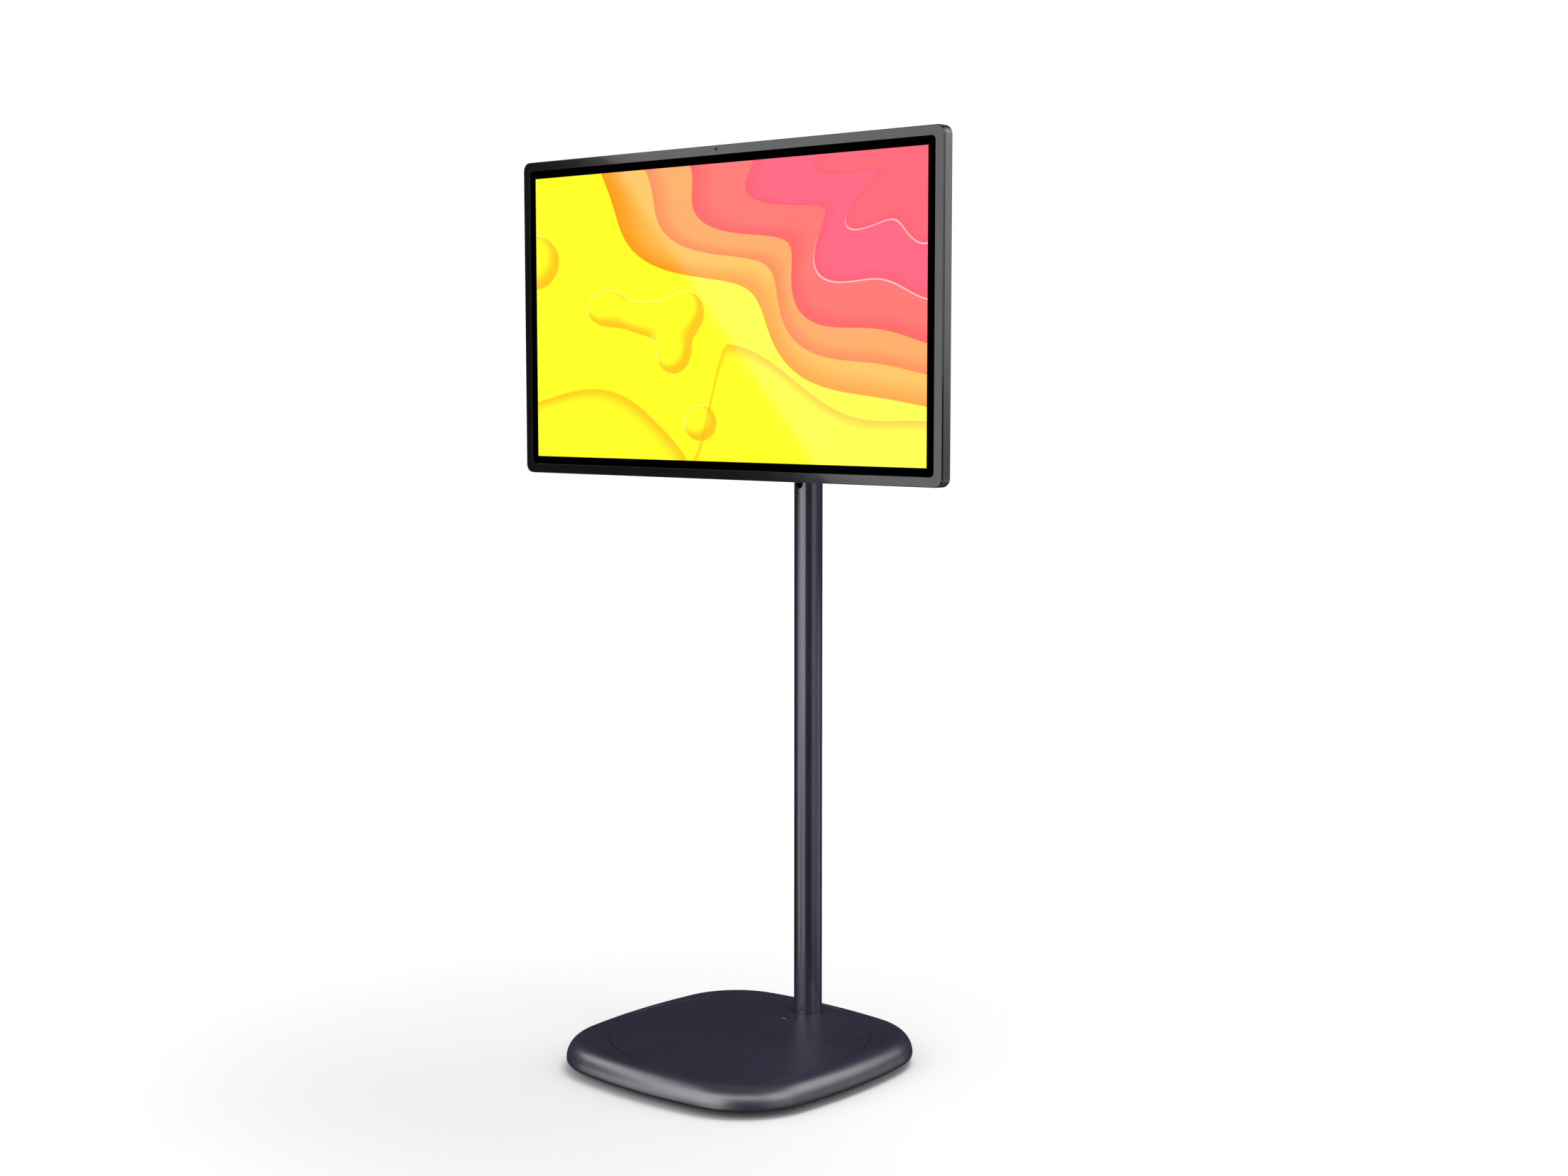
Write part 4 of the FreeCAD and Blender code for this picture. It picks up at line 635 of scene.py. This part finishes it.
def lens(name):
    """Coated camera window."""
    finish = Finish(name, Roughness=0.12, Specular_IOR_Level=0.1)
    spot = finish.spot()
    tint = finish.noise(spot, 300.0, 1)
    finish.set(Base_Color=finish.mix(tint, (0.0008, 0.0004, 0.006), (0.003, 0.001, 0.030)))
    return finish.material


FINISHES = {
    "base_satin": satin_paint("base_satin", srgb(34, 26, 56), 0.36, 2.7),
    "pole_satin": satin_paint("pole_satin", srgb(36, 30, 54), 0.21),
    "bracket_satin": satin_paint("bracket_satin", srgb(38, 33, 50), 0.42),
    "band_metal": satin_paint("band_metal", srgb(46, 45, 53), 0.30),
    "light_pipe": light_pipe("light_pipe"),
    "dark_steel": machined("dark_steel", srgb(70, 70, 74), 0.5),
    "zinc_steel": machined("zinc_steel", srgb(190, 192, 194), 0.32),
    "turned_steel": machined("turned_steel", srgb(176, 178, 182), 0.25),
    "black_screw": machined("black_screw", srgb(44, 44, 48), 0.38),
    "black_sheet": satin_paint("black_sheet", srgb(34, 33, 38), 0.6, 1.5),
    "foot_rubber": rubber("foot_rubber"),
    "friction_pad": moulded("friction_pad", srgb(40, 40, 42), 0.7),
    "button_black": moulded("button_black", srgb(38, 35, 46), 0.45, 2000.0, 0.15),
    "black_plastic": moulded("black_plastic", srgb(28, 28, 30), 0.5),
    "rear_plastic": moulded("rear_plastic", srgb(58, 55, 66), 0.5, 1300.0, 0.3),
    "bezel_gloss": gloss_black("bezel_gloss", 0.66),
    "mask_black": deep_black("mask_black"),
    "screen_glass": lit_picture("screen_glass"),
    "lens_glass": lens("lens_glass"),
    "panel_glass": gloss_black("panel_glass"),
    "backlight_sheet": machined("backlight_sheet", srgb(200, 202, 205), 0.35),
    "circuit_board": circuit("circuit_board"),
}


# ---------------------------------------------------------------- the pieces

def adopt(piece, node):
    """Lets a piece ride where a node rides, stand for it and wear the finish of its slot."""
    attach(piece, NODES[node]["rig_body"])
    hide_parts(node)
    even_out(piece)
    piece.data.materials.clear()
    piece.data.materials.append(FINISHES[SLOT_OF[node]])


def foot_shadow_ring():
    """A thin dark bead round the pole's foot, which is painted shadow: the shadow line where the pole meets the
    disc.
    """
    low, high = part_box("pole_tube")
    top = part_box("base_disc")[1].z
    radius = (high.x - low.x) / 2 + FOOT_SHADOW_GAP
    centre = ((low.x + high.x) / 2, (low.y + high.y) / 2)
    turns = np.linspace(0, TAU, 96, endpoint=False)
    rows = [on_circle(turns, radius + FOOT_SHADOW_SIZE * math.cos(a), top + FOOT_SHADOW_SIZE * math.sin(a), centre)
            for a in np.linspace(0, TAU, 8, endpoint=False)]
    ring = grid_mesh("pole_foot_shadow_ring", np.stack(rows), along=True)
    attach(ring, NODES["base_disc"]["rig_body"])
    ring.data.materials.append(FINISHES["black_plastic"])


def dress_everything():
    """New skins for the pieces that show most, softened copies for the others."""
    skins = {"base_shell": shell_mesh(), "pole_tube": tube_mesh(), **display_frames()}
    for node, piece in skins.items():
        adopt(piece, node)
    for node in NODES:
        if node not in skins:
            dressed(node)
    # A dark ring of painted shadow round the pole's foot.
    foot_shadow_ring()


# ---------------------------------------------------------------- studio

def upright(x0, y0, x1, y1, bottom, top):
    """The corners of an upright rectangle over a line on the floor."""
    return (x0, y0, bottom), (x1, y1, bottom), (x1, y1, top), (x0, y0, top)


FRONT = -2.544  # Y of the wall of light ahead of the screen
MAIN_CARD = ((-1.28, FRONT, 0.0), (0.75, FRONT, 0.0), (0.75, FRONT, 2.7), (-3.71, FRONT, 2.68))
CARDS = (  # name, corners, strength; only the first one lights the object, the others only shine in it
    ("front_softbox", MAIN_CARD, 1.8),
    ("front_low", ((0.08, FRONT, -1.5), (0.75, FRONT, -1.5), (0.75, FRONT, 0.0), (-1.28, FRONT, 0.0)), 0.9),
    ("low_left", ((-3.9, FRONT, -0.9), (-1.25, FRONT, -0.9), (-1.35, FRONT, 0.5), (-3.9, FRONT, 0.5)), 1.1),
    ("high_left", upright(-2.9, FRONT, -4.0, -0.6, 1.85, 4.2), 1.8),
    ("high_softbox", upright(0.9, -3.1, 3.6, -1.6, 1.95, 3.8), 1.8),
    ("right_softbox", upright(3.7, -1.3, 3.7, 1.2, 1.4, 4.4), 1.9),
    ("right_low", upright(3.7, -1.3, 3.7, 1.2, -0.8, 1.3), 0.5),
    ("right_reflector", upright(3.4, 1.5, 1.3, 3.3, 0.95, 1.75), 1.0),
    ("right_high", upright(3.4, 1.5, 1.3, 3.3, 1.75, 4.2), 1.8),
    ("low_right", upright(3.4, 1.5, 1.3, 3.3, -0.8, 0.3), 0.5))


def card(name, corners, strength):
    """A flat glowing card for reflections, which the camera doesn't see."""
    mesh = bpy.data.meshes.new(name)
    mesh.from_pydata(corners, [], [range(len(corners))])
    material = bpy.data.materials.new(name)
    material.use_nodes = True
    wiring = Wiring(material.node_tree)
    glow = wiring.node("ShaderNodeEmission", {}, {"Color": (1, 1, 1), "Strength": strength})
    wiring.node_in("ShaderNodeOutputMaterial", glow)
    mesh.materials.append(material)
    piece = linked(name, mesh)
    piece.visible_camera = False
    piece.visible_shadow = False
    piece.visible_diffuse = corners is MAIN_CARD


def area_lamp(name, place, target, width, height, power):
    """A soft rectangular lamp aimed at a point, which doesn't show in gloss."""
    lamp = bpy.data.lights.new(name, "AREA")
    lamp.shape = "RECTANGLE"
    lamp.size, lamp.size_y, lamp.energy = width, height, power
    piece = linked(name, lamp)
    away = np.array(place) - np.array(target)
    away = away / np.linalg.norm(away)
    piece.location = place
    piece.rotation_euler = (math.acos(away[2]), 0, math.atan2(away[0], -away[1]))
    piece.visible_glossy = False


def floor():
    """Pale floor that keeps the soft contact shadow and runs out to white."""
    finish = Finish("studio_floor", Roughness=0.9, Specular_IOR_Level=0.0, Emission_Strength=1.0)
    spot = finish.spot()
    x, y, _ = finish.split(spot)
    tone = finish.noise(spot, 1.2)
    finish.set(Base_Color=finish.mix(tone, (0.86, 0.86, 0.86), (0.88, 0.88, 0.88)))
    seen = finish.node("ShaderNodeLightPath", output="Is Camera Ray")
    away = (x * x + y * y) ** 0.5
    lift = seen * away.over(LIFT_FROM, LIFT_TO) * FAR_LIFT
    finish.set(Emission_Color=finish.mix(lift, (0.0, 0.0, 0.0), (1.0, 1.0, 1.0)))
    mesh = bpy.data.meshes.new("studio_floor")
    far = FLOOR_REACH
    mesh.from_pydata([(-far, -far, 0), (far, -far, 0), (far, far, 0), (-far, far, 0)], [], [range(4)])
    mesh.materials.append(finish.material)
    piece = linked("studio_floor", mesh)
    piece.visible_glossy = False


def world():
    """White for the camera and through glass, a dim grey in gloss, and a plain grey that lights the object."""
    sky = bpy.data.worlds.new("studio")
    bpy.context.scene.world = sky
    sky.use_nodes = True
    wiring = Wiring(sky.node_tree)
    camera_ray, clear_ray, glossy_ray = (
        wiring.node("ShaderNodeLightPath", output=name)
        for name in ("Is Camera Ray", "Is Transmission Ray", "Is Glossy Ray"))
    white = camera_ray.most(clear_ray)
    strength = SKY_LIGHT + white * (1 - SKY_LIGHT) + glossy_ray * (GLOSS_SKY - SKY_LIGHT)
    background = wiring.node("ShaderNodeBackground", {}, {"Color": (1, 1, 1), "Strength": strength})
    wiring.node_in("ShaderNodeOutputWorld", background)


def studio():
    """Floor, sky, a large softbox ahead on the left, cards all round for the gloss, and two lamps."""
    floor()
    world()
    for name, corners, strength in CARDS:
        card(name, corners, strength)
    area_lamp("overhead", (0.5, 0.7, 3.4), (0, 0, 0.3), 2.2, 1.8, 62)
    area_lamp("right_fill", (3.2, 1.4, 1.7), (0, 0, 0.7), 1.6, 2.0, 20)


def camera():
    """The viewing angle: a 50 mm lens, level sides, above the base's height and from the right."""
    lens_data = bpy.data.cameras.new("camera")
    lens_data.lens, lens_data.sensor_width = 50.08, 36.0
    piece = linked("camera", lens_data)
    piece.location = (1.9701, -2.1936, 0.9387)
    piece.rotation_euler = (math.radians(90 - 5.389), 0, math.radians(40.748))
    bpy.context.scene.camera = piece


camera()
dress_everything()
studio()
bpy.context.scene.view_settings.view_transform = "Standard"
